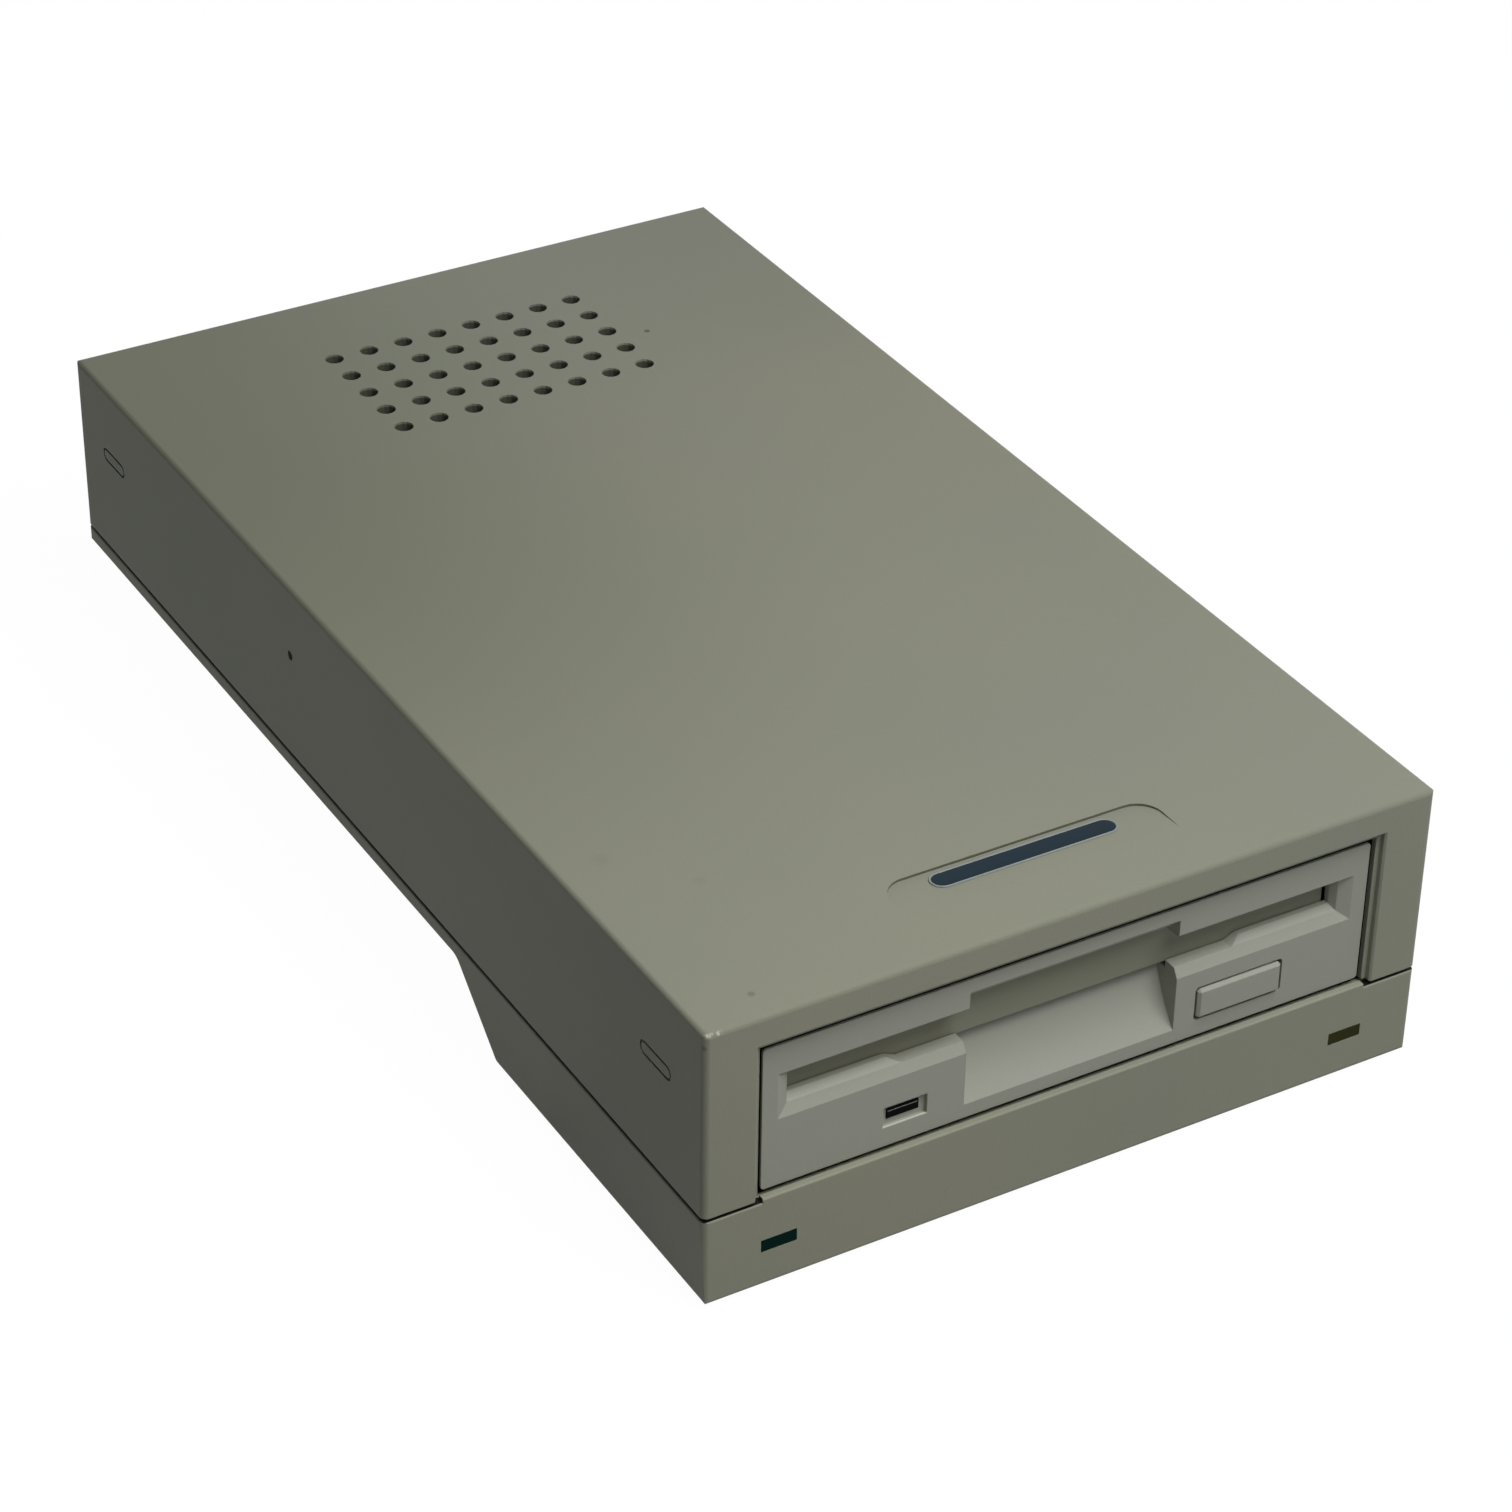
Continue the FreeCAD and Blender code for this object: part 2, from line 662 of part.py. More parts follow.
def tray_holes():
    """Screw holes with recesses for the heads, foot recesses and the two indicator windows."""
    places = [
        (SCREW_HEAD_R, CASE_SCREW_X, FRONT_SCREW_Y, CASE_SEAT_FRONT),
        (SCREW_HEAD_R, CASE_SCREW_X, REAR_SCREW_Y, CASE_SEAT_REAR),
        (DRIVE_HEAD_FRONT_R, DRIVE_SCREW_X, DRIVE_SCREW_YS[0], DRIVE_SEAT_FRONT),
        (DRIVE_HEAD_REAR_R, DRIVE_SCREW_X, DRIVE_SCREW_YS[1], DRIVE_SEAT_REAR),
    ]
    holes = []
    for head, x, y, seat in places:
        holes.append(peg(SCREW_R + SCREW_CLEAR, x, y, 0, COVER_TOP / 2))
        holes.append(peg(head + HEAD_PLAY, x, y, 0, seat))
    for x, y in ((FOOT_X, FRONT_FOOT_Y), (REAR_FOOT_X, REAR_FOOT_Y)):
        holes.append(peg(FOOT_R, x, y, 0, FOOT_HEIGHT + FOOT_RECESS, "z", FOOT_SIDES))
    for y in BOARD_POST_YS:
        holes.append(peg(BOARD_PILOT_R, BOARD_POST_X, y, REAR_FLOOR_Z - FLOOR / 2, BOARD_Z))
    holes.append(peg(BOARD_PILOT_R, LED_POST_X, LED_BOARD_Y, CHIN_FLOOR_Z - BITE, LED_BOARD_Z))
    half_w = LENS_W / 2 + LENS_PLAY
    half_h = LENS_H / 2 + LENS_PLAY
    holes.append(block(LENS_X - half_w, LENS_X + half_w, -HALF_L - 1, -HALF_L + CHIN_WALL + 1,
                       LENS_Z - half_h, LENS_Z + half_h))
    cut = []
    for hole in holes:
        cut += both_sides(hole)
    return cut


def base_tray():
    """The lower shell, with its chin, sill under the drive's face, rear legs and posts."""
    section = [
        (-HALF_W + BASE_DRAFT, FOOT_HEIGHT, TOP_EDGE_R),
        (HALF_W - BASE_DRAFT, FOOT_HEIGHT, TOP_EDGE_R),
        (HALF_W, BASE_RIM_Z, RIM_R),
        (-HALF_W, BASE_RIM_Z, RIM_R),
    ]
    body = case_blank(base_side_profile()).common(prism(section, "y", -HALF_L, HALF_L))
    body = body.cut(tray_hollow())
    front = -HALF_L
    sill = [
        (front, BASE_RIM_Z - 2),
        (front, LEDGE_Z, RIM_R),
        (front + SILL_T, LEDGE_Z),
        (front + SILL_T, BASE_RIM_Z - 2),
    ]
    rear_half = REAR_HALF - RIM_R
    rear_sill = block(-rear_half, rear_half, PANEL_Y + PANEL_T + PANEL_PLAY, HALF_L - CORNER_R,
                      BASE_RIM_Z - 1, LEDGE_Z)
    leg = peg(LEG_R, REAR_FOOT_X, REAR_FOOT_Y, FOOT_HEIGHT, BASE_REAR_Z - FOOT_HEIGHT + BITE, "z", FOOT_SIDES)
    ribs = [block(x - RIB_T / 2, x + RIB_T / 2, *CHIN_RIB_YS,
                  CHIN_FLOOR_Z - BITE, CHIN_FLOOR_Z + CHIN_RIB_RISE)
            for x in CHIN_RIB_XS]
    rib_y1 = PANEL_Y - PANEL_PLAY
    panel_rib = block(-PANEL_RIB_HALF, PANEL_RIB_HALF, rib_y1 - PANEL_RIB_T, rib_y1,
                      REAR_FLOOR_Z - BITE, BASE_RIM_Z + HEAD_BEVEL)
    body = joined(body, prism(sill, "x", -LEDGE_HALF, LEDGE_HALF), rear_sill, panel_rib, *ribs,
                  *both_sides(leg), *tray_tongue(), *tray_bosses())
    return body.cut(tray_holes()).removeSplitter()


def rubber_feet():
    """Four round pads with a bevelled rim, pressed into recesses in the chin and the legs."""
    feet = []
    for x, y in ((FOOT_X, FRONT_FOOT_Y), (REAR_FOOT_X, REAR_FOOT_Y)):
        pad = peg(FOOT_R - 0.05, x, y, FOOT_BEVEL, FOOT_HEIGHT + FOOT_RECESS - FOOT_BEVEL, "z", FOOT_SIDES)
        tread = peg(FOOT_R - 0.6, x, y, 0, FOOT_BEVEL, "z", FOOT_SIDES)
        feet += both_sides(pad.fuse(tread).removeSplitter())
    return feet


def pan_screw(x, y, seat, length, head_r=SCREW_HEAD_R, head_h=SCREW_HEAD_H):
    """A screw driven upwards, with its head's shoulder at the given height."""
    head = peg(head_r, x, y, seat - head_h + HEAD_BEVEL, head_h - HEAD_BEVEL)
    crown = peg(head_r - HEAD_BEVEL, x, y, seat - head_h, BITE)
    return joined(head, crown, peg(SCREW_R, x, y, seat - 0.1, length + 0.1))


def lens(side):
    """A light-pipe window: its face is flush with the chin, its flange sits behind the wall."""
    x = side * LENS_X
    back = -HALF_L + CHIN_WALL
    half_w = LENS_W / 2
    half_h = LENS_H / 2
    window = block(x - half_w, x + half_w, -HALF_L, back, LENS_Z - half_h, LENS_Z + half_h)
    half_w += LENS_FLANGE
    half_h += LENS_FLANGE
    flange = block(x - half_w, x + half_w, back, back + LENS_FLANGE, LENS_Z - half_h, LENS_Z + half_h)
    return window.fuse(flange).removeSplitter()


# ---------------------------------------------------------------- rear panel and ports
def d_outline(cx, cz, width, height, r=SHELL_CORNER_R):
    """The D shape of a port: a rounded outline whose sides lean in by ten degrees."""
    half = width / 2
    lean = height * math.tan(SHELL_LEAN)
    return facet_corners([
        (cx - half + lean, cz - height / 2, r),
        (cx + half - lean, cz - height / 2, r),
        (cx + half, cz + height / 2, r),
        (cx - half, cz + height / 2, r),
    ])


def jack_places():
    """Middle of each of the four jack screws."""
    return [(side * PORT_X + end * PORT_SPACING / 2, PORT_Z) for side in (-1, 1) for end in (-1, 1)]


def rear_panel():
    """A steel plate that closes the rear, behind the cover's shroud, with the port cut-outs."""
    y = PANEL_Y
    plate = block(-PANEL_HALF, PANEL_HALF, y, y + PANEL_T, BASE_RIM_Z, PANEL_TOP)
    cuts = []
    for side in (-1, 1):
        hole = d_outline(side * PORT_X, PORT_Z, PLUG_SHELL_W + PORT_CUT_PLAY, PLUG_SHELL_H + PORT_CUT_PLAY)
        cuts.append(prism(hole, "y", y - 1, y + 2))
    cuts += [peg(SCREW_R + HEAD_PLAY / 2, x, y - 1, z, 3, "y") for x, z in jack_places()]
    cuts.append(peg(INLET_R + SCREW_CLEAR, INLET_X, y - 1, INLET_Z, 3, "y", INLET_SIDES))
    cuts += both_sides(block(PANEL_HALF - PANEL_NOTCH, PANEL_HALF, y - 1, y + 2, 0, COVER_RIM_Z + 2.2))
    return plate.cut(cuts).removeSplitter()


def port_body(cx, shell_w, shell_h):
    """Flange, body and thin D-shaped shell of a port that stands on the interface board."""
    flange = block(cx - PORT_FLANGE_W / 2, cx + PORT_FLANGE_W / 2, PANEL_Y - 1, PANEL_Y,
                   PORT_Z - PORT_FLANGE_H / 2, PORT_Z + PORT_FLANGE_H / 2)
    body = block(cx - PORT_BODY_HALF, cx + PORT_BODY_HALF, PANEL_Y - PORT_BODY_DEEP, PANEL_Y - 1,
                 BOARD_Z + BOARD_T, PORT_Z + PORT_BODY_RISE)
    shell = prism(d_outline(cx, PORT_Z, shell_w, shell_h), "y", PANEL_Y - BITE, PANEL_Y + SHELL_OUT)
    port = joined(flange, body, shell)
    for end in (-1, 1):
        port = port.cut(peg(SCREW_R, cx + end * PORT_SPACING / 2, PANEL_Y - 2, PORT_Z, 3, "y"))
    return port


def contact_places(cx):
    """Middle of each of the twenty-five contacts, thirteen over twelve."""
    places = []
    for count, z in ((13, PORT_Z + ROW_SPACING / 2), (12, PORT_Z - ROW_SPACING / 2)):
        places += [(cx + (i - (count - 1) / 2) * CONTACT_PITCH, z) for i in range(count)]
    return places


def computer_port():
    """The plug side: an open shell around an insulator, which the pins stand on."""
    port = port_body(-PORT_X, PLUG_SHELL_W, PLUG_SHELL_H)
    hollow = d_outline(-PORT_X, PORT_Z, PLUG_SHELL_W - 2 * SHELL_WALL, PLUG_SHELL_H - 2 * SHELL_WALL,
                       SHELL_CORNER_R - SHELL_WALL)
    return port.cut(prism(hollow, "y", PANEL_Y + 1.0, PANEL_Y + SHELL_OUT + 1))


def computer_port_pins():
    """Twenty-five pins that stand on the insulator."""
    return [peg(PIN_SIZE, x, PANEL_Y + 1.0, z, PIN_LENGTH, "y", 4) for x, z in contact_places(-PORT_X)]


def printer_port():
    """The socket side: an insulator that fills its shell, with a hole for each pin."""
    port = port_body(PORT_X, SOCKET_SHELL_W, SOCKET_SHELL_H)
    lip = d_outline(PORT_X, PORT_Z, SOCKET_SHELL_W - 2 * SHELL_WALL, SOCKET_SHELL_H - 2 * SHELL_WALL,
                    SHELL_CORNER_R - SHELL_WALL)
    port = port.cut(prism(lip, "y", PANEL_Y + SHELL_OUT - SHELL_WALL, PANEL_Y + SHELL_OUT + 1))
    holes = [peg(PIN_SIZE + 0.1, x, PANEL_Y + 2.5, z, SHELL_OUT, "y", 4) for x, z in contact_places(PORT_X)]
    return port.cut(holes)


def jack_screws():
    """Hexagonal jack screws with a threaded bore, which a plug's thumbscrews go into."""
    screws = []
    across = JACK_HEX / math.sqrt(3)
    start = PANEL_Y + PANEL_T
    for x, z in jack_places():
        angles = [math.radians(60 * i) for i in range(6)]
        hexagon = [(x + across * math.cos(a), z + across * math.sin(a)) for a in angles]
        head = prism(hexagon, "y", start, start + JACK_LENGTH)
        stud = peg(JACK_STUD_R, x, PANEL_Y - 3, z, 3 + PANEL_T + BITE, "y")
        bore = rod(JACK_BORE_R, x, start + BITE, z, JACK_LENGTH, "y")
        screws.append(head.fuse(stud).cut(bore).removeSplitter())
    return screws


def dc_inlet():
    """A round panel inlet for the power supply, with its nut and centre pin."""
    end_y = PANEL_Y + PANEL_T + INLET_OUT
    back_y = end_y - INLET_LENGTH
    barrel = peg(INLET_R, INLET_X, back_y, INLET_Z, INLET_LENGTH, "y", INLET_SIDES)
    shoulder = peg(INLET_NUT_R, INLET_X, PANEL_Y - 1.6, INLET_Z, 1.6, "y")
    nut = peg(INLET_NUT_R, INLET_X, PANEL_Y + PANEL_T, INLET_Z, INLET_NUT_T, "y", 6)
    body = joined(barrel, shoulder, nut)
    body = body.cut(peg(INLET_BORE_R, INLET_X, back_y + 4, INLET_Z, INLET_LENGTH, "y", INLET_SIDES))
    pin = peg(INLET_PIN_R, INLET_X, back_y + 3.5, INLET_Z, INLET_LENGTH - 4.8, "y")
    return body.fuse(pin).removeSplitter()


# ---------------------------------------------------------------- electronics in the case
def interface_board():
    """The board that joins the two ports to the drive, with its four screw holes."""
    board = block(-BOARD_HALF, BOARD_HALF, BOARD_FRONT_Y, PANEL_Y - 2.6, BOARD_Z, BOARD_Z + BOARD_T)
    holes = []
    for y in BOARD_POST_YS:
        holes += both_sides(peg(BOARD_PILOT_R + 0.1, BOARD_POST_X, y, BOARD_Z - 1, 4))
    return board.cut(holes)


def board_screws():
    """Four pan-head screws that hold the interface board."""
    screws = []
    top = BOARD_Z + BOARD_T
    for y in BOARD_POST_YS:
        head = peg(BOARD_HEAD_R, BOARD_POST_X, y, top, BOARD_HEAD_H)
        screws += both_sides(head.fuse(peg(BOARD_SCREW_R, BOARD_POST_X, y, top - 3.6, 3.7)).removeSplitter())
    return screws


def chip(x, y, wide, deep, tall, z):
    """A chip's moulded body over the two rows of leads along its edges, as one solid."""
    x0, x1, y0, y1 = x - wide / 2, x + wide / 2, y - deep / 2, y + deep / 2
    body = block(x0, x1, y0, y1, z + CHIP_LIFT, z + tall)
    leads = block(x0 + LEAD_REACH, x1 - LEAD_REACH, y0 - LEAD_REACH, y1 + LEAD_REACH, z, z + 3 * CHIP_LIFT)
    return joined(body, leads)


def interface_chips():
    """The controller, its buffer and memory chips, and the clock crystal's can."""
    top = BOARD_Z + BOARD_T
    crystal = prism(oval_points(*CRYSTAL[:4]), "z", top, top + CRYSTAL[4])
    return [chip(*sizes, top) for sizes in CHIPS] + [crystal]


def board_capacitors():
    """Upright electrolytic capacitors with their crimped groove."""
    cans = []
    top = BOARD_Z + BOARD_T
    for x, y, r, tall in CAPACITORS:
        can = peg(r, x, y, top, tall, "z", CAN_SIDES)
        neck = peg(r - CAN_GROOVE, x, y, top, tall, "z", CAN_SIDES)
        ring = peg(r + 1, x, y, top + 4 * CAN_GROOVE, 2 * CAN_GROOVE)
        cans.append(can.cut(ring.cut(neck)))
    return cans


def voltage_regulator():
    """A three-legged regulator bolted to its finned heat sink."""
    top = BOARD_Z + BOARD_T
    back_y = REGULATOR_Y - REGULATOR_TAB_T
    z0, z1 = (top + rise for rise in SINK_RISE)
    web = block(*SINK_X, back_y - SINK_T, back_y, z0, z1)
    fins = [block(x, x + SINK_T, back_y - BITE, SINK_FIN_Y, z0, z1)
            for x in (SINK_X[0] + SINK_T, SINK_X[1] - 2 * SINK_T)]
    foot = top + REGULATOR_RISE
    tab = block(*REGULATOR_X, back_y, REGULATOR_Y, foot, foot + 15.0)
    body = block(*REGULATOR_X, REGULATOR_Y, REGULATOR_Y + 3.2, foot, foot + 9.0)
    legs = [block(x - 0.4, x + 0.4, REGULATOR_Y + 0.2, REGULATOR_Y + 0.9, top, foot)
            for x in REGULATOR_LEG_XS]
    return joined(web, tab, body, *fins, *legs)


def ribbon_header():
    """The boxed header on the interface board that the drive's ribbon plugs into."""
    top = BOARD_Z + BOARD_T
    x0, x1, y0, y1, tall = HEADER
    box = block(x0, x1, y0, y1, top, top + tall)
    wall = HEADER_WALL
    return box.cut(block(x0 + wall, x1 - wall, y0 + wall, y1 - wall, top + wall, top + tall + 1))


def signal_ribbon():
    """A flat cable that arches from the drive's rear connector into the header."""
    top = BOARD_Z + BOARD_T
    path = [(DRIVE_REAR + 2.2, 21.0), (DRIVE_REAR + 5.0, 24.0), (DRIVE_REAR + 6.5, 29.0),
            (DRIVE_REAR + 10.0, 31.0), (55.2, 29.0), (55.2, top + 1.4)]
    return prism(band(path, -RIBBON_T), "x", *RIBBON_X)


def power_lead():
    """Four wires side by side, from the interface board to the drive's power connector."""
    path = [(DRIVE_REAR + 2.2, 21.0), (DRIVE_REAR + 4.0, 22.0), (46.5, 22.0), (47.5, BOARD_Z + BOARD_T + 0.4)]
    return [prism(band(path, -POWER_T), "x", x - POWER_T / 2, x + POWER_T / 2) for x in POWER_XS]


def led_board():
    """The narrow board in the chin that carries the two indicators."""
    z = LED_BOARD_Z
    half_y = LED_BOARD_DEEP / 2
    board = block(-LED_BOARD_HALF, LED_BOARD_HALF, LED_BOARD_Y - half_y, LED_BOARD_Y + half_y, z, z + BOARD_T)
    return board.cut(both_sides(peg(BOARD_PILOT_R + 0.1, LED_POST_X, LED_BOARD_Y, z - 1, 4)))


def led_board_screws():
    """Two screws that hold the indicator board."""
    top = LED_BOARD_Z + BOARD_T
    head = peg(BOARD_HEAD_R, LED_POST_X, LED_BOARD_Y, top, BOARD_HEAD_H)
    shank = peg(BOARD_SCREW_R, LED_POST_X, LED_BOARD_Y, top - 2.8, 2.9)
    return both_sides(head.fuse(shank).removeSplitter())


def indicator_leds():
    """The power and activity lamps, right behind their windows."""
    z = LED_BOARD_Z + BOARD_T
    body = block(LENS_X - 2.5, LENS_X + 2.5, LED_BOARD_Y - 3.1, LED_BOARD_Y + 1.0, z, z + 2.0)
    return both_sides(body)


def led_lead():
    """A flat lead that runs from the indicator board down the chin and up the slope to the rear."""
    path = [(LED_BOARD_Y + 3.25, LED_BOARD_Z + 0.4), (-46.5, LED_BOARD_Z + 0.4),
            (-34.2, 15.6), (-31.0, 15.65), (45.0, 15.65)]
    return prism(band(path, 0.6), "x", -34.0, -26.0)


# ---------------------------------------------------------------- drive: bezel
def frustum(u_outer, u_inner, low_outer, low_inner, high_outer, high_inner, y_outer, y_inner):
    """A four-sided funnel between two rectangles, one on each of two upright planes."""
    wires = []
    ends = ((y_outer, u_outer, low_outer, high_outer), (y_inner, u_inner, low_inner, high_inner))
    for y, half, low, high in ends:
        corners = [V(-half, y, low), V(half, y, low), V(half, y, high), V(-half, y, high), V(-half, y, low)]
        wires.append(Part.makePolygon(corners))
    return Part.makeLoft(wires, True, True)


def slot_cut():
    """The disk slot: a funnel in front, a slot behind it, and a taller stretch in the middle."""
    ridge_y = FACE_Y + LIP_RIDGE_DEPTH
    back_y = FACE_Y + BEZEL_T + 1
    waist = SLOT_HALF + SLOT_FLARE
    waist_z = SLOT_Z1 + SLOT_FLARE / 2
    funnel = frustum(LIP_HALF, waist, LIP_Z, LIP_RIDGE_Z, LIP_TOP_Z, waist_z, FACE_Y - TINY, ridge_y)
    throat = frustum(waist, SLOT_HALF, LIP_RIDGE_Z, SLOT_Z0, waist_z, SLOT_Z1, ridge_y, ridge_y + THROAT)
    slot = block(-SLOT_HALF, SLOT_HALF, ridge_y + THROAT - 0.1, back_y, SLOT_Z0, SLOT_Z1)
    slope = SLOT_MID_HALF + SLOT_MID_RUN
    middle = [
        (-slope, SLOT_Z0 + 0.1), (-SLOT_MID_HALF, SLOT_MID_Z0), (SLOT_MID_HALF, SLOT_MID_Z0),
        (slope, SLOT_Z0 + 0.1), (slope, SLOT_Z1 - 0.1), (SLOT_MID_HALF - 2, SLOT_MID_Z1),
        (2 - SLOT_MID_HALF, SLOT_MID_Z1), (-slope, SLOT_Z1 - 0.1),
    ]
    return [funnel, throat, slot, prism(middle, "y", ridge_y - 0.4, back_y)]


def thumb_notch():
    """The sloping relief in the upper lip, in the middle of the slot."""
    profile = [
        (FACE_Y - 1, NOTCH_Z + 0.4),
        (FACE_Y, NOTCH_Z),
        (FACE_Y + 0.5, NOTCH_Z - 0.5),
        (FACE_Y + BEZEL_T + 0.1, SLOT_MID_Z1 - 0.1),
        (FACE_Y + BEZEL_T + 0.1, SLOT_MID_Z0 + 1),
        (FACE_Y - 1, SLOT_MID_Z0 + 1),
    ]
    return prism(profile, "x", -NOTCH_HALF, NOTCH_HALF)


def scoop_curve(offset):
    """The hollowed back of the finger scoop, as start, middle and end of an arc in y, z."""
    start = V(FACE_Y + offset, SCOOP_Z0 - offset, 0)
    end = V(FACE_Y + SCOOP_DEPTH + offset, SCOOP_Z1, 0)
    middle = (start + end) * 0.5 + V(*SCOOP_HOLLOW, 0)
    return start, middle, end


def scoop_prism(offset, half, top):
    """Everything in front of and above the scoop's curved back, up to a level."""
    start, middle, end = scoop_curve(offset)
    front = FACE_Y - 1
    stops = [end, V(end.x, top, 0), V(front, top, 0), V(front, start.y, 0), start]
    edges = [Part.Arc(start, middle, end).toShape()]
    edges += [Part.LineSegment(stops[i], stops[i + 1]).toShape() for i in range(len(stops) - 1)]
    face = Part.Face(Part.Wire(edges))
    face.Placement = FreeCAD.Placement(FreeCAD.Matrix(0, 0, 1, -half, 1, 0, 0, 0, 0, 1, 0, 0, 0, 0, 0, 1))
    return face.extrude(V(2 * half, 0, 0))


def drive_bezel():
    """The drive's moulded face, with its slot, finger scoop, lamp frame and button opening."""
    back_y = FACE_Y + BEZEL_T
    far_y = FACE_Y + 3 * BEZEL_T
    face = prism(rectangle(-BEZEL_HALF, BEZEL_HALF, BEZEL_Z0, BEZEL_Z1, BEZEL_CORNER_R), "y",
                 FACE_Y, back_y + BEZEL_RIM)
    wall = SCOOP_WALL
    hollow = block(wall - BEZEL_HALF, BEZEL_HALF - wall, back_y, far_y, BEZEL_Z0 + wall, BEZEL_Z1 - wall)
    scoop_shell = scoop_prism(SCOOP_WALL, SCOOP_HALF + SCOOP_WALL, SCOOP_Z1 + 1)
    scoop_shell = scoop_shell.common(block(-BEZEL_HALF, BEZEL_HALF, FACE_Y, far_y, BEZEL_Z0 + BITE, SCOOP_Z1))
    ears = both_sides(block(*HINGE_EAR_X, back_y - 0.1, FACE_Y + 2 * BEZEL_T, *HINGE_EAR_Z))
    body = joined(face.cut(hollow), scoop_shell, *ears)
    x0, x1, z0, z1 = BUTTON
    gap = BUTTON_GAP
    f0, f1, g0, g1 = LAMP_FRAME
    l0, l1, m0, m1 = LAMP
    pockets = [block(u0, u1, FACE_Y + 2.2, back_y + 1, *POCKET_Z) for u0, u1 in POCKETS_X]
    cuts = slot_cut() + pockets + [
        thumb_notch(),
        scoop_prism(0, SCOOP_HALF, SLOT_MID_Z0 + 1),
        prism(rectangle(x0 - gap, x1 + gap, z0 - gap, z1 + gap, BEZEL_CORNER_R), "y", FACE_Y - 1, far_y),
        block(f0, f1, FACE_Y - 1, FACE_Y + LAMP_SINK, g0, g1),
        block(l0 - TURN_PLAY, l1 + TURN_PLAY, FACE_Y - 1, far_y, m0 - TURN_PLAY, m1 + TURN_PLAY),
    ]
    cuts += both_sides(rod(FLAP_PIN_R + TURN_PLAY, FLAP_HALF + 0.6, FLAP_PIVOT_Y, FLAP_PIVOT_Z, 1.2, "x"))
    return body.cut(cuts).removeSplitter()


def dust_flap():
    """The spring-closed door behind the slot, with its rolled upper edge and two pivot pins."""
    y0 = FLAP_FRONT_Y
    y1 = y0 + FLAP_T
    plate = block(-FLAP_HALF, FLAP_HALF, y0, y1, FLAP_Z0, FLAP_PIVOT_Z + FLAP_PIN_R)
    barrel = peg(0.9, -FLAP_HALF, FLAP_PIVOT_Y, FLAP_PIVOT_Z, 2 * FLAP_HALF, "x")
    pins = both_sides(peg(FLAP_PIN_R, FLAP_HALF - BITE, FLAP_PIVOT_Y, FLAP_PIVOT_Z, 2.1, "x", 10))
    return joined(plate, barrel, *pins)


def activity_lamp():
    """The drive's own lamp, in the sunk frame on the left of its face."""
    x0, x1, z0, z1 = LAMP
    back_y = FACE_Y + BEZEL_T + TURN_PLAY
    rim = LAMP_BASE_RIM
    lamp_face = block(x0, x1, FACE_Y + LAMP_SINK - 0.2, back_y + 1, z0, z1)
    base = block(x0 - rim, x1 + rim, back_y, back_y + 4, z0 - rim, z1 + rim)
    return lamp_face.fuse(base).removeSplitter()


# ---------------------------------------------------------------- drive: chassis and its cover
def drive_frame():
    """The drive's pressed chassis: a floor, two side walls, screw tabs and bearing blocks."""
    y0 = FRAME_FRONT_Y
    y1 = DRIVE_REAR
    inner = FRAME_HALF - FRAME_T
    floor = block(-FRAME_HALF, FRAME_HALF, y0, y1, FRAME_FLOOR_Z, FRAME_FLOOR_Z + FRAME_T)
    sides = both_sides(block(inner, FRAME_HALF, y0, y1, DRIVE_Z, DRIVE_Z + FRAME_HIGH))
    tabs = []
    for y in DRIVE_SCREW_YS:
        tab = block(42.0, inner + 0.4, y - TAB_DEEP / 2, y + TAB_DEEP / 2, DRIVE_Z, DRIVE_Z + FRAME_T)
        tabs += both_sides(tab)
    rear = block(-inner - 0.4, inner + 0.4, y1 - FRAME_T, y1, FRAME_FLOOR_Z + 0.5, DRIVE_Z + 18)
    blocks = [block(RAIL_X - 3, RAIL_X + 3, y, y + 3, BLOCK_Z, RAIL_Z + 2.5) for y in (-39.0, 12.5)]
    blocks.append(block(SCREW_X - 3, SCREW_X + 3, -15.0, -12.0, BLOCK_Z, SCREW_Z + 2.4))
    mount = block(SCREW_X - 10, SCREW_X + 10, MOTOR_Y - 1.4, MOTOR_Y, BLOCK_Z, SCREW_Z + 9.5)
    posts = both_sides(block(*SPRING_POST, BLOCK_Z, SPRING_Z + 1.2))
    body = joined(floor, rear, mount, *sides, *tabs, *blocks, *posts)
    cuts = [
        peg(MOTOR_R + 0.2, SCREW_X, MOTOR_Y - 2.4, SCREW_Z, 30, "y", 12),
        block(SCREW_X - 8.5, SCREW_X + 8.5, MOTOR_Y, y1 + 1, 0, SCREW_Z),
        rod(SPINDLE_R, RAIL_X, -40, RAIL_Z, 60, "y"),
        peg(SCREW_TIP_R + 0.15, SCREW_X, -16, SCREW_Z, 5, "y"),
        peg(6.0, 0, SPINDLE_Y, DRIVE_Z, 6, "z", 12),
        block(-30.0, 16.0, y1 - 2, y1 + 1, DRIVE_Z, CONNECTOR_TOP),
        block(18.0, 28.0, y1 - 2, y1 + 1, DRIVE_Z, CONNECTOR_TOP),
        block(-30.5, 28.5, 32.5, y1 - 1.5, DRIVE_Z, CONNECTOR_TOP),
    ]
    for y in DRIVE_SCREW_YS:
        cuts += both_sides(peg(SCREW_R + SCREW_CLEAR, DRIVE_SCREW_X, y, DRIVE_Z - 1, 3))
    for y in PIN_YS:
        low = PIN_Z - DISK_LIFT - PIN_R - PIN_PLAY
        high = PIN_Z + LIFT_RATIO + PIN_R + PIN_PLAY
        reach = PIN_R + PIN_PLAY - 0.1
        cuts += both_sides(block(inner - 0.6, FRAME_HALF + 0.7, y - reach, y + reach, low, high))
    for y in SHIELD_SCREW_YS:
        cuts += both_sides(peg(SHIELD_SCREW_R + TURN_PLAY, inner - 1.6, y, SHIELD_SCREW_Z, 4, "x"))
    return body.cut(cuts).removeSplitter()


